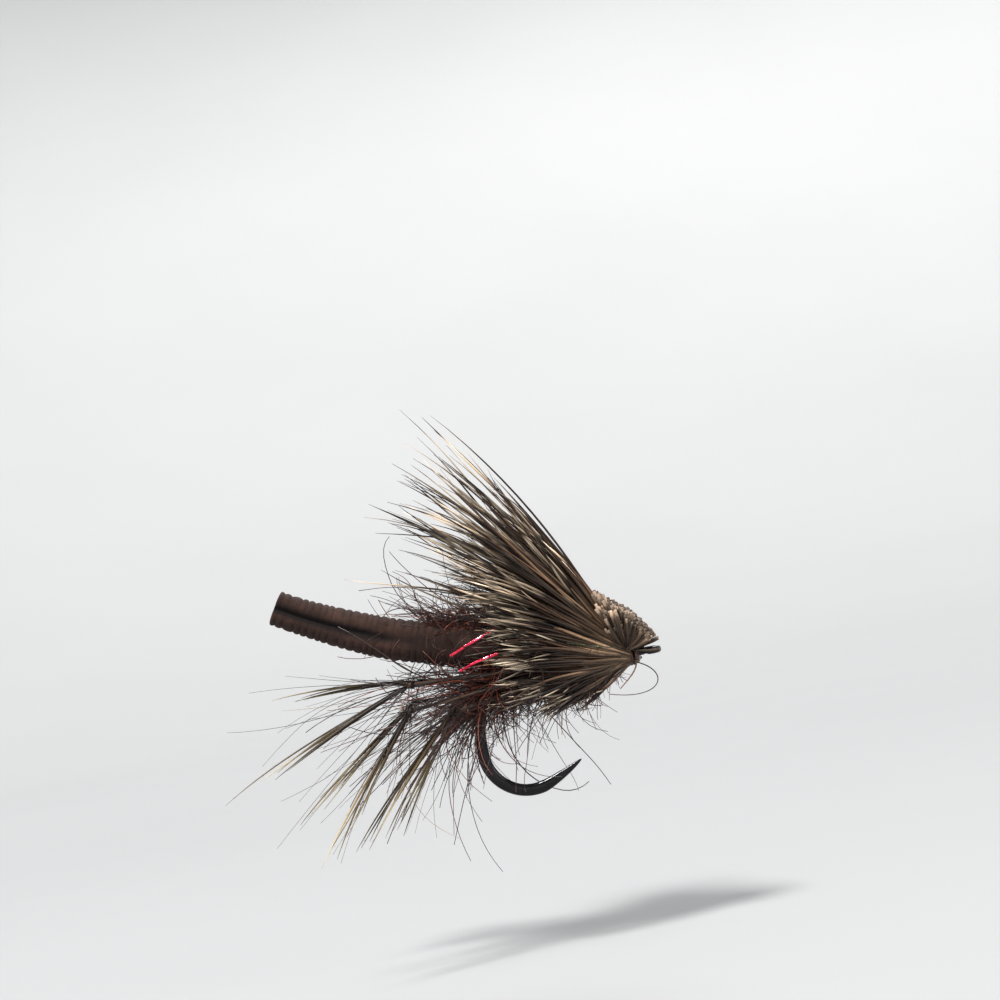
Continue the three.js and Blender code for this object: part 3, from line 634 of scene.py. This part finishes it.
# ---------------------------------------------------------------- thread
def helix(x_from, x_to, half_width, half_height, turns, centre_z, seed):
    """One thread wound along the shank. Its turns wander a little, as hand-wound turns do."""
    t = spaced(int(turns * HELIX_STEPS))
    rng = np.random.default_rng(seed)
    waves = sum(
        rng.normal(0, THREAD_WANDER) * np.sin(t * TURN * turns * f + rng.uniform(0, TURN))
        for f in (0.13, 0.37, 0.71, 1.3)
    )
    angle = t * TURN * turns
    x = mix(x_from, x_to, t) + waves * 2
    y = (half_width + waves) * np.sin(angle)
    z = centre_z + (half_height + waves) * np.cos(angle)
    return np.stack([x, y, z], -1)


def wound(name, low, high, layers, node, thread=THREAD_RADIUS):
    """A wound band that fills a CAD band's box: layers are shares of the full size, the last one outside."""
    size = (high - low) / 2
    middle_z = (high[2] + low[2]) / 2
    turns = (high[0] - low[0]) / (thread * THREAD_SPACING)
    groups = []
    for number, share in enumerate(layers):
        ends = (low[0] + thread, high[0] - thread)
        if number % 2:
            ends = ends[::-1]
        line = helix(*ends, size[1] * share - thread, size[2] * share - thread, turns, middle_z, number + 5)
        groups.append(sweep(line, thread, sides=7, reference=X_AXIS))
    core_line = np.linspace([low[0] + 0.02, 0, middle_z], [high[0] - 0.02, 0, middle_z], 6)
    half_width, half_height = size[1:] * layers[0] - thread * 1.2
    groups.append(sweep(core_line, half_width, half_height, sides=32, reference=Y_AXIS))
    return make_piece(name, groups, THREAD, [node])


def build_thread():
    wound("thread_underbody_wraps", underbody_low, underbody_high, [1.0], "thread_underbody")
    wound("foam_binding_wraps", band_low, band_high, [0.93, 1.0], "foam_tie_band")
    wound("hair_binding_wraps", binding_low, binding_high, [0.82, 0.92, 1.0], "hair_binding_thread")
    wound("whip_finish_wraps", whip_low, whip_high, [0.9, 1.0], "whip_finish", WHIP_THREAD_RADIUS)


def build_cement():
    """A clear coat that has pooled over the whip finish."""
    low, high = node_box("head_cement")
    steps = 28
    x = np.linspace(low[0] - 0.1, high[0] + 0.02, steps)
    t = spaced(steps)
    radius = high[2] * np.sqrt(np.clip(np.sin(math.pi * mix(0.08, 0.92, t)), 0, 1)) * 0.97
    line = np.stack([x, 0 * x, 0 * x - 0.03 * np.sin(math.pi * t)], -1)
    rings = sweep(line, radius, sides=40, reference=Y_AXIS)
    return make_piece("head_cement_coat", [rings], cement_material(), ["head_cement"])


# ---------------------------------------------------------------- deer hair
def direction(rise, yaw):
    """Pointing back and up by rise, and out to the left by yaw."""
    return np.stack([-np.cos(rise) * np.cos(yaw), np.cos(rise) * np.sin(yaw), np.sin(rise)], -1)


def hair_lines(rng, count, root_turn, rise, yaw, length, clumps, lift, spread=0.35):
    """Hairs from the binding, in clumps that lie together.

    root_turn is the turn round the shank from the top. Each of root_turn, rise and yaw is (middle, half range)
    in degrees, and length is (longest, shortest). lift bows the hairs up, and spread loosens the clumps."""
    clump = rng.integers(0, clumps, count)
    clump_rise = rng.uniform(-1, 1, clumps)[clump]
    clump_yaw = rng.uniform(-1, 1, clumps)[clump]
    by_rise = np.clip(clump_rise + rng.normal(0, 0.65 * spread, count), -1.25, 1.25)
    by_yaw = np.clip(clump_yaw + rng.normal(0, 0.75 * spread, count), -1.25, 1.25)
    turn = (root_turn[0] + root_turn[1] * by_yaw) * DEGREE
    radius = mix(0.62, 1.0, 0.5 + 0.4 * by_rise) * BINDING_RADIUS
    forward = rng.uniform(0, 0.55, count)
    root = HAIR_ROOT + np.stack([forward, radius * np.sin(turn), radius * np.cos(turn)], -1)
    rises = (rise[0] + rise[1] * by_rise) * DEGREE
    yaws = (yaw[0] + yaw[1] * by_yaw) * DEGREE
    longest, shortest = length
    lengths = mix(longest, shortest, rng.random(count) ** 1.1)[:, None]
    tip = root + lengths * direction(rises, yaws) + rng.normal(0, 0.03, (count, 3)) * lengths
    bow = (lift + rng.normal(0, 3.2, count)) * DEGREE
    first = root + lengths * 0.3 * direction(rises + bow, yaws * 0.75)
    second = root + lengths * 0.68 * direction(rises + bow * 0.8, yaws * 0.95)
    second = second + rng.normal(0, 0.32, (count, 3))
    t = spaced(HAIR_STEPS)
    line = bezier((root, first, second, tip), t)
    # A long wave and a weaker short one, which grow towards the tip.
    waves = rng.normal(0, 0.26, (2, count, 1, 3)) * np.array([1, 0.5])[:, None, None, None]
    rate = rng.uniform(2, 4.5, (2, count, 1)) * [[[1]], [[2.3]]]
    swing = np.sin(rate * t + rng.uniform(0, TURN, (2, count, 1)))
    growth = (swing * t * (1 - 0.3 * t))[..., None]
    return line + (waves * growth * np.sqrt(lengths / 9)[None, :, None]).sum(0)


def hair_piece(node, seed, groups, material):
    """Tapered hairs. Each group is (count, root_turn, rise, yaw, length, clumps, lift), or has spread too."""
    rng = np.random.default_rng(seed)
    lines = np.concatenate([hair_lines(rng, *group) for group in groups])
    t = spaced(HAIR_STEPS)
    taper = np.interp(t, [0, 0.12, 0.45, 0.75, 0.93, 1], [0.52, 0.82, 1, 0.72, 0.3, 0.1])
    radius = HAIR_RADIUS * taper[None] * rng.uniform(0.72, 1.18, (len(lines), 1))
    rings = sweep(lines, radius, sides=5)
    return make_piece(node + "_hair", [rings], material, [node], tint=[rng.random(len(lines))])


def build_hair():
    long_hair = hair_material(
        "deer_hair_wing",
        tones(
            (0.0, 122, 99, 77), (0.2, 104, 82, 62), (0.45, 70, 50, 36), (0.66, 40, 26, 18),
            (0.74, 158, 137, 113), (0.86, 194, 175, 152), (0.92, 50, 33, 23), (1.0, 26, 17, 13),
        ),
    )
    short_hair = hair_material(
        "deer_hair_collar",
        tones(
            (0.0, 124, 101, 79), (0.3, 98, 77, 59), (0.6, 56, 38, 27), (0.8, 40, 26, 18),
            (0.88, 188, 168, 143), (0.97, 218, 202, 178), (1.0, 112, 88, 66),
        ),
    )
    hair_piece(
        "wing_top", 11,
        [
            (124, (0, 55), (52, 7), (0, 13), (14.2, 8.5), 20, 3),
            (36, (0, 50), (53, 6), (0, 14), (20.8, 13.5), 14, 3, 0.6),
            (14, (0, 70), (43, 8), (0, 16), (19.5, 12.0), 14, 5, 0.8),
        ],
        long_hair,
    )
    for side, label in ((-1, "right"), (1, "left")):
        hair_piece(
            f"wing_{label}", 20 + side,
            [
                (54, (side * 42, 24), (33, 8), (side * 12, 8), (13.4, 8.5), 14, 5),
                (20, (side * 46, 24), (35, 9), (side * 11, 7), (19.0, 13.0), 12, 5, 0.8),
                (44, (side * 60, 24), (23, 7), (side * 14, 6), (13.0, 9.0), 12, 6),
            ],
            long_hair,
        )
        hair_piece(
            f"collar_{label}", 30 + side,
            [
                (76, (side * 82, 26), (16, 9), (side * 14, 6), (10.6, 7.2), 16, 2),
                (72, (side * 104, 26), (0, 11), (side * 15, 6), (10.2, 6.6), 16, -2),
            ],
            short_hair,
        )
        hair_piece(
            f"beard_{label}", 40 + side,
            [
                (52, (side * 128, 30), (-17, 9), (side * 13, 9), (7.6, 4.8), 14, -3),
                (26, (side * 150, 26), (-27, 8), (side * 10, 9), (4.8, 2.8), 10, -4),
            ],
            short_hair,
        )


def butt_roots(rng, lean, splay):
    """Roots on the binding, which fan out with splay."""
    count = len(lean)
    radius = BINDING_RADIUS * rng.uniform(0.5, 1.0, count)
    turn = splay * (74 - 20 * np.abs(np.sin(lean))) * DEGREE + rng.normal(0, 0.12, count)
    x = rng.uniform(binding_low[0], mix(binding_low[0], binding_high[0], 0.75), count)
    return np.stack([x, radius * np.sin(turn), radius * np.cos(turn) * 0.9], -1)


def clipped_reach(rng, root, heading, lean, splay):
    """How far each butt runs before it meets the clipped outline."""
    count = len(lean)
    low, high = node_box("head_hair")
    # From the top at the back down to the front above the eye.
    outline = [
        np.array([low[0], 0, high[2]]),
        np.array([mix(low[0], high[0], 0.56), 0, 0.7 * high[2]]),
        np.array([high[0], 0, 0.26 * high[2]]),
    ]
    reach = np.full(count, LONGEST_BUTT)
    for behind, ahead in zip(outline, outline[1:]):
        facing = unit(np.array([behind[2] - ahead[2], 0, ahead[0] - behind[0]]))
        reach = np.minimum(reach, ((ahead - root) @ facing) / np.maximum(heading @ facing, 1e-3))
    reach = reach * (1 - 0.26 * np.abs(splay) ** 2.5) * rng.uniform(0.93, 1.03, count)
    reach = np.where(lean < 0, np.minimum(reach, 1.3), reach)
    cut_short = (np.abs(splay) > 0.6) & (rng.random(count) < 0.35)
    reach = reach * np.where(cut_short, rng.uniform(0.45, 0.9, count), 1)
    return np.maximum(reach, SHORTEST_BUTT)[:, None]


def caught_fibres():
    """Two fibres that the whip finish caught hang under the head, one of them bent round in a loop."""
    below = np.array([mix(whip_low[0], whip_high[0], 0.2), whip_low[1], whip_low[2]])
    caught = np.array([
        [(0, 0, 0), (2.2, -0.4, -0.9), (1.4, -0.6, -2.8), (-2.1, -0.2, -1.8)],
        [(0, 0, 0), (-0.1, -0.2, -0.6), (-0.7, -0.3, -1.0), (-1.35, -0.4, -1.55)],
    ])
    steps = 24
    lines = bezier(np.moveaxis(below + caught, 1, 0), spaced(steps))
    thin = np.array([[0.4], [0.55]]) * BUTT_RADIUS * np.linspace(1, 0.6, steps)[None]
    return sweep(lines, thin, sides=5), np.linspace(0.05, 0.3, steps)


def build_head():
    """Butts that flare up and forward from the binding, clipped along a slanting line."""
    rng = np.random.default_rng(52)
    # Degrees up from straight ahead. A few butts have escaped the scissors below.
    ranges = ((17, 114, 900), (-12, 8, 6), (-80, -50, 4))
    lean = np.concatenate([rng.uniform(*limits) for limits in ranges]) * DEGREE
    count = len(lean)
    splay = rng.uniform(-1, 1, count)
    splay = np.sign(splay) * np.abs(splay) ** 0.6
    outward = splay * (18 + 20 * np.sin(lean)) * DEGREE
    root = butt_roots(rng, lean, splay)
    heading = np.stack([np.cos(lean) * np.cos(outward), np.sin(outward), np.sin(lean) * np.cos(outward)], -1)
    heading = unit(heading + rng.normal(0, 0.06, (count, 3)))
    tip = root + clipped_reach(rng, root, heading, lean, splay) * heading
    bend = rng.normal(0, 0.06, (count, 3)) - 0.1 * np.abs(splay)[:, None] * Z_AXIS
    t = spaced(7)
    lines = bezier((root, mix(root, tip, 0.33) + bend, mix(root, tip, 0.66) + bend, tip), t)
    radius = BUTT_RADIUS * rng.uniform(0.7, 1.15, (count, 1)) * np.linspace(0.75, 1.0, len(t))[None]
    butts = hair_material(
        "clipped_hair_butts",
        tones(
            (0.0, 38, 26, 19), (0.4, 76, 58, 45), (0.8, 94, 76, 61), (0.97, 100, 82, 67),
            (1.0, 150, 128, 108),
        ),
        (0.5, 0.75),
        (0.55, 1.5),
    )
    hanging, hanging_along = caught_fibres()
    return make_piece(
        "head_hair_butts", [sweep(lines, radius, sides=6), hanging], butts,
        ["head_hair"], tint=[rng.random(count), np.array([0.5, 0.97])], along=[t, hanging_along],
    )


# ---------------------------------------------------------------- dubbing
def curled(rng, root, heading, length, curl, steps, droop=0.0):
    """Fibres that set out along heading and curl at a steady rate about an axis of their own."""
    count = len(root)
    axis = unit(rng.normal(0, 1, (count, 3)))
    turn = (curl * rng.normal(0, 1, count) / steps)[:, None]
    step = (length / (steps - 1))[:, None]
    at, going = root.copy(), unit(heading)
    line = [at]
    for _ in range(steps - 1):
        at = at + going * step
        line.append(at)
        going = unit(going + np.cross(axis, going) * turn + np.array([0, 0, -droop]) / steps)
        axis = unit(axis + rng.normal(0, 0.25, (count, 3)))
    return np.stack(line, 1)


def lump(low, high, seed):
    """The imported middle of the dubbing: a rough spindle between two corners of a box."""
    rng = np.random.default_rng(seed)
    t = spaced(LUMP_ROWS)
    middle = (low + high) / 2
    x = mix(low[0], high[0], t)
    angle = np.arange(LUMP_SIDES) / LUMP_SIDES * TURN
    shape = np.sqrt(np.clip(np.sin(math.pi * mix(0.03, 0.97, t)), 0, 1))[:, None]
    rough = 1 + LUMP_BUMPS * sum(
        rng.normal(0, 0.5) * np.cos(n * angle[None] + m * x[:, None] + rng.uniform(0, TURN))
        for n, m in zip(rng.integers(1, 9, 14), rng.uniform(-9, 9, 14))
    )
    width, height = (high[1] - low[1]) / 2, (high[2] - low[2]) / 2
    y = width * shape * rough * np.cos(angle)
    z = middle[2] + height * shape * rough * np.sin(angle)
    rings = np.stack(np.broadcast_arrays(x[:, None], y, z), -1)
    return rings[None][:, :, ::-1]


def fur_fibres(rng, low, high, count, length, back, curl, droop, bottom, outward, coarse=1.0):
    """Loose fibres from the surface of a lump, and their tints.

    length is (shortest, longest), back is (mean, deviation) of how far they lean back, bottom is the share
    that starts under the shank, and outward is how freely they stand out to the sides."""
    covered = 1 if length[0] < UNDERFUR else 0.75  # long fibres leave the front of the lump clear
    x = rng.uniform(low[0], mix(low[0], high[0], covered), count)
    from_below = rng.random(count) < bottom
    turn = np.where(from_below, rng.uniform(90, 270, count), rng.uniform(-90, 90, count)) * DEGREE
    middle, size = (low + high) / 2, (high - low) / 2
    radial = np.stack([0 * turn, np.sin(turn), np.cos(turn)], -1)
    y = middle[1] + 0.7 * size[1] * np.sin(turn)
    root = np.stack([x, y, middle[2] + 0.7 * size[2] * np.cos(turn)], -1)
    heading = radial * rng.uniform(0.25, 1.0, (count, 1)) - X_AXIS * rng.normal(*back, (count, 1))
    heading = (heading + rng.normal(0, 0.3, (count, 3))) * np.array([1, outward, 1])
    lengths = mix(length[0], length[1], rng.random(count) ** 2.2)
    lines = curled(rng, root, heading, lengths, curl, FUR_STEPS, droop)
    lines[..., 1] = lines[:, :1, 1] + (lines[..., 1] - lines[:, :1, 1]) * mix(outward, 1, 0.3)
    thin = np.linspace(1, 0.5, FUR_STEPS)[None] * coarse * FIBRE_RADIUS * rng.uniform(0.65, 1.3, (count, 1))
    return sweep(lines, thin, sides=3), rng.random(count)


def build_dubbing():
    """Each group is (count, length, back, curl, droop, bottom, outward) and may end with coarse."""
    fur = fur_material()
    abdomen = [
        (600, (1.4, 4.6), (0.8, 0.5), 3.4, 0.2, 0.82, 1.0),
        (230, (3.5, 9.0), (1.6, 0.6), 2.8, 0.3, 0.85, 0.7),
        (120, (7.0, 15.0), (1.7, 0.8), 2.3, 0.6, 0.9, 0.9, 1.35),
        (60, (6.0, 13.0), (2.4, 0.5), 2.2, 0.0, 0.7, 0.8, 1.25),
    ]
    thorax = [
        (760, (1.4, 4.2), (0.9, 0.5), 3.2, 0.2, 0.62, 0.5),
        (200, (3.0, 7.5), (1.4, 0.5), 2.8, 0.4, 0.8, 0.5),
        (18, (6.0, 12.0), (1.2, 0.6), 2.2, 0.9, 0.95, 0.5, 1.3),
    ]
    # Fibres that tangle over the foam, just behind its binding.
    tangle = [
        (260, (2.5, 7.0), (1.5, 0.5), 4.2, 0, 0, 0.35),
        (50, (5.0, 10.0), (1.7, 0.4), 3.0, 0, 0, 0.35, 1.2),
    ]
    tangle_low = np.array([band_low[0] - 4.5, -0.9, FOAM_UNDERSIDE + 1.5 * FOAM_RADIUS])
    tangle_high = np.array([band_low[0], 0.9, FOAM_UNDERSIDE + 2.3 * FOAM_RADIUS])
    for label, low, high, seed, groups, extra in (
        ("abdomen", abdomen_low, abdomen_high, 61, abdomen, []),
        ("thorax", thorax_low, thorax_high, 62, thorax, tangle),
    ):
        rng = np.random.default_rng(seed)
        made = [fur_fibres(rng, low, high, *group) for group in groups]
        made += [fur_fibres(rng, tangle_low, tangle_high, *group) for group in extra]
        core = lump(low, high, seed)
        rings = [core] + [fibres for fibres, _ in made]
        tints = [np.array([0.12])] + [tint for _, tint in made]
        alongs = [np.zeros(LUMP_ROWS)] + [spaced(FUR_STEPS)] * len(made)
        node = f"dubbing_{label}"
        make_piece(node + "_fur", rings, fur, [node], tint=tints, along=alongs)


# ---------------------------------------------------------------- legs
def knot_line(centre, size, heading):
    """A small overhand knot drawn tight round a point."""
    t = np.linspace(0, TURN, KNOT_STEPS)
    across, forwards = np.sin(t) + 2 * np.sin(2 * t), np.cos(t) - 2 * np.cos(2 * t)
    loops = np.stack([across, forwards, -1.25 * np.sin(3 * t)], -1) / 3
    forward = unit(heading)
    side = unit(np.cross(forward, Z_AXIS + 0.01))
    basis = np.stack([side, forward, np.cross(side, forward)])
    return centre + size * loops @ basis


def twisted(rng, line, count, offset, turns, flare=0.0):
    """Fibres twisted round a line, each keeping its own turn and flaring out of the bundle towards the end."""
    t = spaced(len(line))
    tangent = unit(np.gradient(line, axis=0))
    side = unit(np.cross(tangent, Z_AXIS[None] + 0.01))
    up = np.cross(side, tangent)
    phase = (np.arange(count) / count * TURN + rng.uniform(0, 0.7, count))[:, None]
    angle = phase + t[None] * TURN * turns
    reach = offset * rng.uniform(0.45, 1.1, (count, 1))
    reach = reach + flare * rng.uniform(0.1, 1.0, (count, 1)) * t[None] ** 2.0
    return line[None] + reach[..., None] * (np.cos(angle)[..., None] * side + np.sin(angle)[..., None] * up)


def barbules(rng, fibres, per_fibre, length):
    """Fine hairs that lie close along feather fibres, and their places along them."""
    count, steps, _ = fibres.shape
    which = np.repeat(np.arange(count), per_fibre)
    place = rng.uniform(0.08, 0.95, len(which))
    at = place * (steps - 1)
    low = at.astype(int).clip(0, steps - 2)
    root = mix(fibres[which, low], fibres[which, low + 1], (at - low)[:, None])
    along = unit(fibres[which, low + 1] - fibres[which, low])
    heading = along + rng.normal(0, 0.33, (len(which), 3))
    lines = curled(rng, root, heading, rng.uniform(0.5, 1.0, len(which)) * length, 0.8, BARBULE_STEPS)
    thin = np.linspace(1, 0.35, BARBULE_STEPS) * BARBULE_RADIUS
    return sweep(lines, thin, sides=3), place


def thigh_centre(hip, knee, side):
    """Out from the thread, past the band and the dubbing, and back to the knot."""
    clear = abdomen_high[1] + 0.33
    turn = hip + Y_AXIS * side * 2 * (clear - abs(hip[1]))
    run = mix(knee, hip, 0.72)
    run[1] = side * (clear + 0.3)
    return bezier((hip, turn, run, knee), spaced(THIGH_STEPS))


def build_thigh(rng, label, side, feather):
    """The twisted bundle, its knot, the cut stubs that stand out of the knot, and fuzz round it."""
    hip, knee = JOINTS[f"leg_{label}_hip"], JOINTS[f"leg_{label}_knee"]
    centre = thigh_centre(hip, knee, side)
    thigh = twisted(rng, centre, 6, 0.085, 2.2)
    thick = np.linspace(1.15, 1.0, THIGH_STEPS) * LEG_FIBRE_RADIUS
    heading = unit(centre[-1] - centre[-6])
    knots = np.stack([knot_line(knee, size, heading + rng.normal(0, 0.25, 3)) for size in (0.34, 0.27, 0.2)])
    fuzz_roots = knee + rng.normal(0, 0.18, (40, 3))
    fuzz = curled(rng, fuzz_roots, rng.normal(0, 1, (40, 3)), rng.uniform(0.4, 1.1, 40), 1.2, 7)
    stub_roots = np.repeat(knee[None], 5, 0)
    stub_headings = heading + rng.normal(0, 0.55, (5, 3))
    stubs = curled(rng, stub_roots, stub_headings, rng.uniform(0.8, 2.2, 5), 0.7, 8)
    fine, place = barbules(rng, thigh, 26, 0.75)
    rings = [
        sweep(thigh, thick, sides=6),
        sweep(knots, 0.1, sides=7),
        sweep(stubs, np.linspace(0.035, 0.01, 8), sides=4),
        sweep(fuzz, np.linspace(0.028, 0.01, 7), sides=3),
        fine,
    ]
    alongs = [
        np.linspace(0, 0.28, THIGH_STEPS),
        np.full(KNOT_STEPS, 0.15),
        np.linspace(0.25, 0.5, 8),
        np.full(7, 0.1),
        (0.25 * place)[:, None] + np.zeros((1, BARBULE_STEPS)),
    ]
    make_piece(
        f"leg_{label}_thigh_fibres", rings, feather, [f"leg_{label}_thigh"],
        body=f"leg_{label}_thigh", tint=[rng.random(len(group)) for group in rings], along=alongs,
    )


def shortened(fibres, shares):
    """Each fibre cut to its share of its length, with as many points as before."""
    t = spaced(fibres.shape[1])
    return np.stack([
        np.stack([np.interp(share * t, t, fibre[:, axis]) for axis in range(3)], -1)
        for fibre, share in zip(fibres, shares)
    ])


def build_shin(rng, label, feather):
    """Fibres that part on the way to their tips. The middle legs have a second small knot."""
    knee = JOINTS[f"leg_{label}_knee"]
    corners = node_points(f"leg_{label}_shin")
    tip = corners[np.linalg.norm(corners - knee, axis=1).argmax()]
    length = np.linalg.norm(tip - knee)
    middle = mix(knee, tip, 0.5) + np.array([0, 0, 0.75])
    t = spaced(SHIN_STEPS)
    shin = bezier((knee, mix(knee, middle, 0.66), mix(tip, middle, 0.66), tip), t)
    count = 5
    fibres = twisted(rng, shin, count, 0.12, 0.3, 0.065 * length)
    fibres = shortened(fibres, np.concatenate([[1.0], rng.uniform(0.66, 1.0, count - 1)]))
    taper = np.interp(t, [0, 0.2, 0.6, 0.85, 1], [0.95, 1.15, 1.1, 0.7, 0.15])
    thick = LEG_FIBRE_RADIUS * taper[None] * rng.uniform(0.8, 1.2, (count, 1))
    fine, place = barbules(rng, fibres, 12, 0.5)
    stray_headings = unit(tip - knee) + rng.normal(0, 0.3, (8, 3))
    strays = curled(
        rng, np.repeat(knee[None], 8, 0), stray_headings, rng.uniform(0.5, 1.05, 8) * length, 1.1, STRAY_STEPS
    )
    rings = [
        sweep(fibres, thick, sides=6),
        fine,
        sweep(strays, np.linspace(0.032, 0.012, STRAY_STEPS), sides=4),
    ]
    alongs = [
        np.linspace(0.22, 1, SHIN_STEPS),
        (0.22 + 0.78 * place)[:, None] + np.zeros((1, BARBULE_STEPS)),
        np.linspace(0.1, 0.55, STRAY_STEPS),
    ]
    if "middle" in label:
        knots = np.stack([knot_line(shin[13], size, unit(tip - knee)) for size in (0.24, 0.2)])
        rings.append(sweep(knots, 0.08, sides=7))
        alongs.append(np.full(KNOT_STEPS, 0.24))
    make_piece(
        f"leg_{label}_shin_fibres", rings, feather, [f"leg_{label}_shin"],
        body=f"leg_{label}_shin", tint=[rng.random(len(group)) for group in rings], along=alongs,
    )


def build_legs():
    feather = hair_material(
        "barred_tail_feather",
        tones(
            (0.0, 30, 18, 13), (0.24, 40, 25, 17), (0.42, 60, 42, 28), (0.6, 106, 87, 58),
            (0.78, 148, 131, 98), (0.92, 176, 163, 132), (1.0, 96, 78, 56),
        ),
        (0.35, 0.55),
    )
    for side, name in ((-1, "right"), (1, "left")):
        for row, place in enumerate(("front", "middle", "rear")):
            rng = np.random.default_rng(80 + 3 * row + side)
            build_thigh(rng, f"{name}_{place}", side, feather)
            build_shin(rng, f"{name}_{place}", feather)


# ---------------------------------------------------------------- flash
def strand_line(name):
    """The centre line of a CAD strand, from the corners of its sections in order along X."""
    corners = node_points(name)
    corners = corners[np.argsort(corners[:, 0])]
    middles = np.array([group.mean(0) for group in np.array_split(corners, STRAND_SECTIONS)])
    t, stations = spaced(60), spaced(STRAND_SECTIONS)
    return np.stack([np.interp(t, stations, middles[:, k]) for k in range(3)], -1)


def build_flash():
    """Flat strands of metallised film, two against the foam's right side and one among the collar hair."""
    # The light colours are painted glints, and the red film also has a painted glow.
    red = flash_material("red_flash_film", srgb(150, 8, 34), srgb(255, 44, 84), 0.75, 0.25, 0.45)
    green = flash_material("green_flash_film", srgb(26, 26, 14), srgb(116, 150, 48), 0.25, 0.01, 0.54)
    for name, film, slot, half_width in (
        ("flash_red_upper", red, "red_flash", 0.085),
        ("flash_red_lower", red, "red_flash", 0.085),
        ("flash_green", green, "green_flash", 0.04),
    ):
        line = strand_line(name)
        twist = 0.5 * np.sin(spaced(len(line)) * 7)[:, None]
        reference = unit(Y_AXIS[None] * np.cos(twist) + Z_AXIS[None] * np.sin(twist))
        rings = sweep(line, FILM_HALF_THICKNESS, half_width, 8, reference, 0.5)
        make_piece(name + "_film", [rings], film, [name])


# ---------------------------------------------------------------- studio
def build_camera():
    """Looks along +Y, rolled so that the shank slopes down to the rear."""
    data = bpy.data.cameras.new("camera")
    data.lens = LENS
    data.sensor_width = SENSOR_WIDTH
    data.clip_start = 0.005
    data.clip_end = 20
    camera = add_object("camera", data)
    right = np.array([math.cos(SHANK_SLOPE), 0, -math.sin(SHANK_SLOPE)])
    up = np.array([math.sin(SHANK_SLOPE), 0, math.cos(SHANK_SLOPE)])
    place = -10 * right + 10 * up - Y_AXIS * VIEW_WIDTH * LENS / SENSOR_WIDTH
    axes = zip(right, up, -Y_AXIS, place * MM)
    camera.matrix_world = Matrix([[float(v) for v in row] for row in axes] + [[0, 0, 0, 1]])
    bpy.context.scene.camera = camera


def area_light(name, place, target, size, power, colour=(1, 1, 1)):
    data = bpy.data.lights.new(name, "AREA")
    data.shape = "DISK"
    data.size = size
    data.energy = power
    data.color = colour
    light = add_object(name, data)
    light.location = place
    light.rotation_euler = (Vector(target) - Vector(place)).to_track_quat("-Z", "Y").to_euler()


def build_floor():
    """A pale floor that turns up all round into a shallow bowl."""
    floor_z = CAD_LOW[2] / MM - FLOOR_GAP
    radii = np.concatenate([np.linspace(1, FLAT_RADIUS, 10), np.linspace(300, 1300, 30)])[:, None]
    heights = floor_z + BOWL_HEIGHT * smooth((radii - FLAT_RADIUS) / BOWL_WIDTH)
    angle = np.linspace(0, TURN, 97)[:-1]
    ring = np.broadcast_arrays(radii * np.cos(angle) + FLEX[0], radii * np.sin(angle), heights)
    points = np.stack(ring, -1).reshape(-1, 3) * MM
    index = np.arange(len(points)).reshape(len(radii), len(angle))
    after = np.roll(index, -1, axis=1)
    quads = np.stack([index[:-1], index[1:], after[1:], after[:-1]], -1).reshape(-1, 4)
    mesh = bpy.data.meshes.new("floor")
    mesh.from_pydata(points.tolist(), [], quads.tolist() + [index[0].tolist()])
    mesh.polygons.foreach_set("use_smooth", [True] * len(mesh.polygons))
    distance = mesh.attributes.new("distance", "FLOAT", "POINT")
    distance.data.foreach_set("value", np.repeat(radii / radii[-1], len(angle)).astype(np.float32))
    pale = Surface("pale_floor")
    plain = pale.ramp(pale.attribute("distance"), [(0.1, (0.34, 0.34, 0.34)), (0.5, (0.47, 0.47, 0.465))])
    grain = pale.ramp(pale.noise(14, 2), [(0.3, (0.97, 0.97, 0.97)), (0.7, (1, 1, 1))])
    pale.colour(pale.blend(1.0, plain, grain, "MULTIPLY"))
    pale.rough(pale.remap(pale.noise(60, 2), 0.8, 0.9))
    mesh.materials.append(pale.material)
    add_object("floor", mesh)


def build_lights():
    """Soft light from above and all round. Places are in metres."""
    world = bpy.data.worlds.new("studio")
    world.use_nodes = True
    background = world.node_tree.nodes["Background"]
    background.inputs["Color"].default_value = (0.95, 0.97, 1.0, 1)
    background.inputs["Strength"].default_value = 0.74
    bpy.context.scene.world = world
    centre = (FLEX[0] * MM, 0, 0)
    area_light("key", (-0.22, -0.44, 0.66), centre, 0.16, 11)
    area_light("fill", (0.54, -0.38, 0.26), centre, 0.44, 1.6, (1.0, 0.97, 0.93))
    area_light("back", (0.1, 0.58, 0.5), centre, 0.4, 2.2)
    bpy.context.scene.view_settings.view_transform = "Standard"


build_camera()
build_floor()
build_lights()
THREAD = thread_material()
build_hook()
build_foam()
build_thread()
build_cement()
build_hair()
build_head()
build_dubbing()
build_legs()
build_flash()
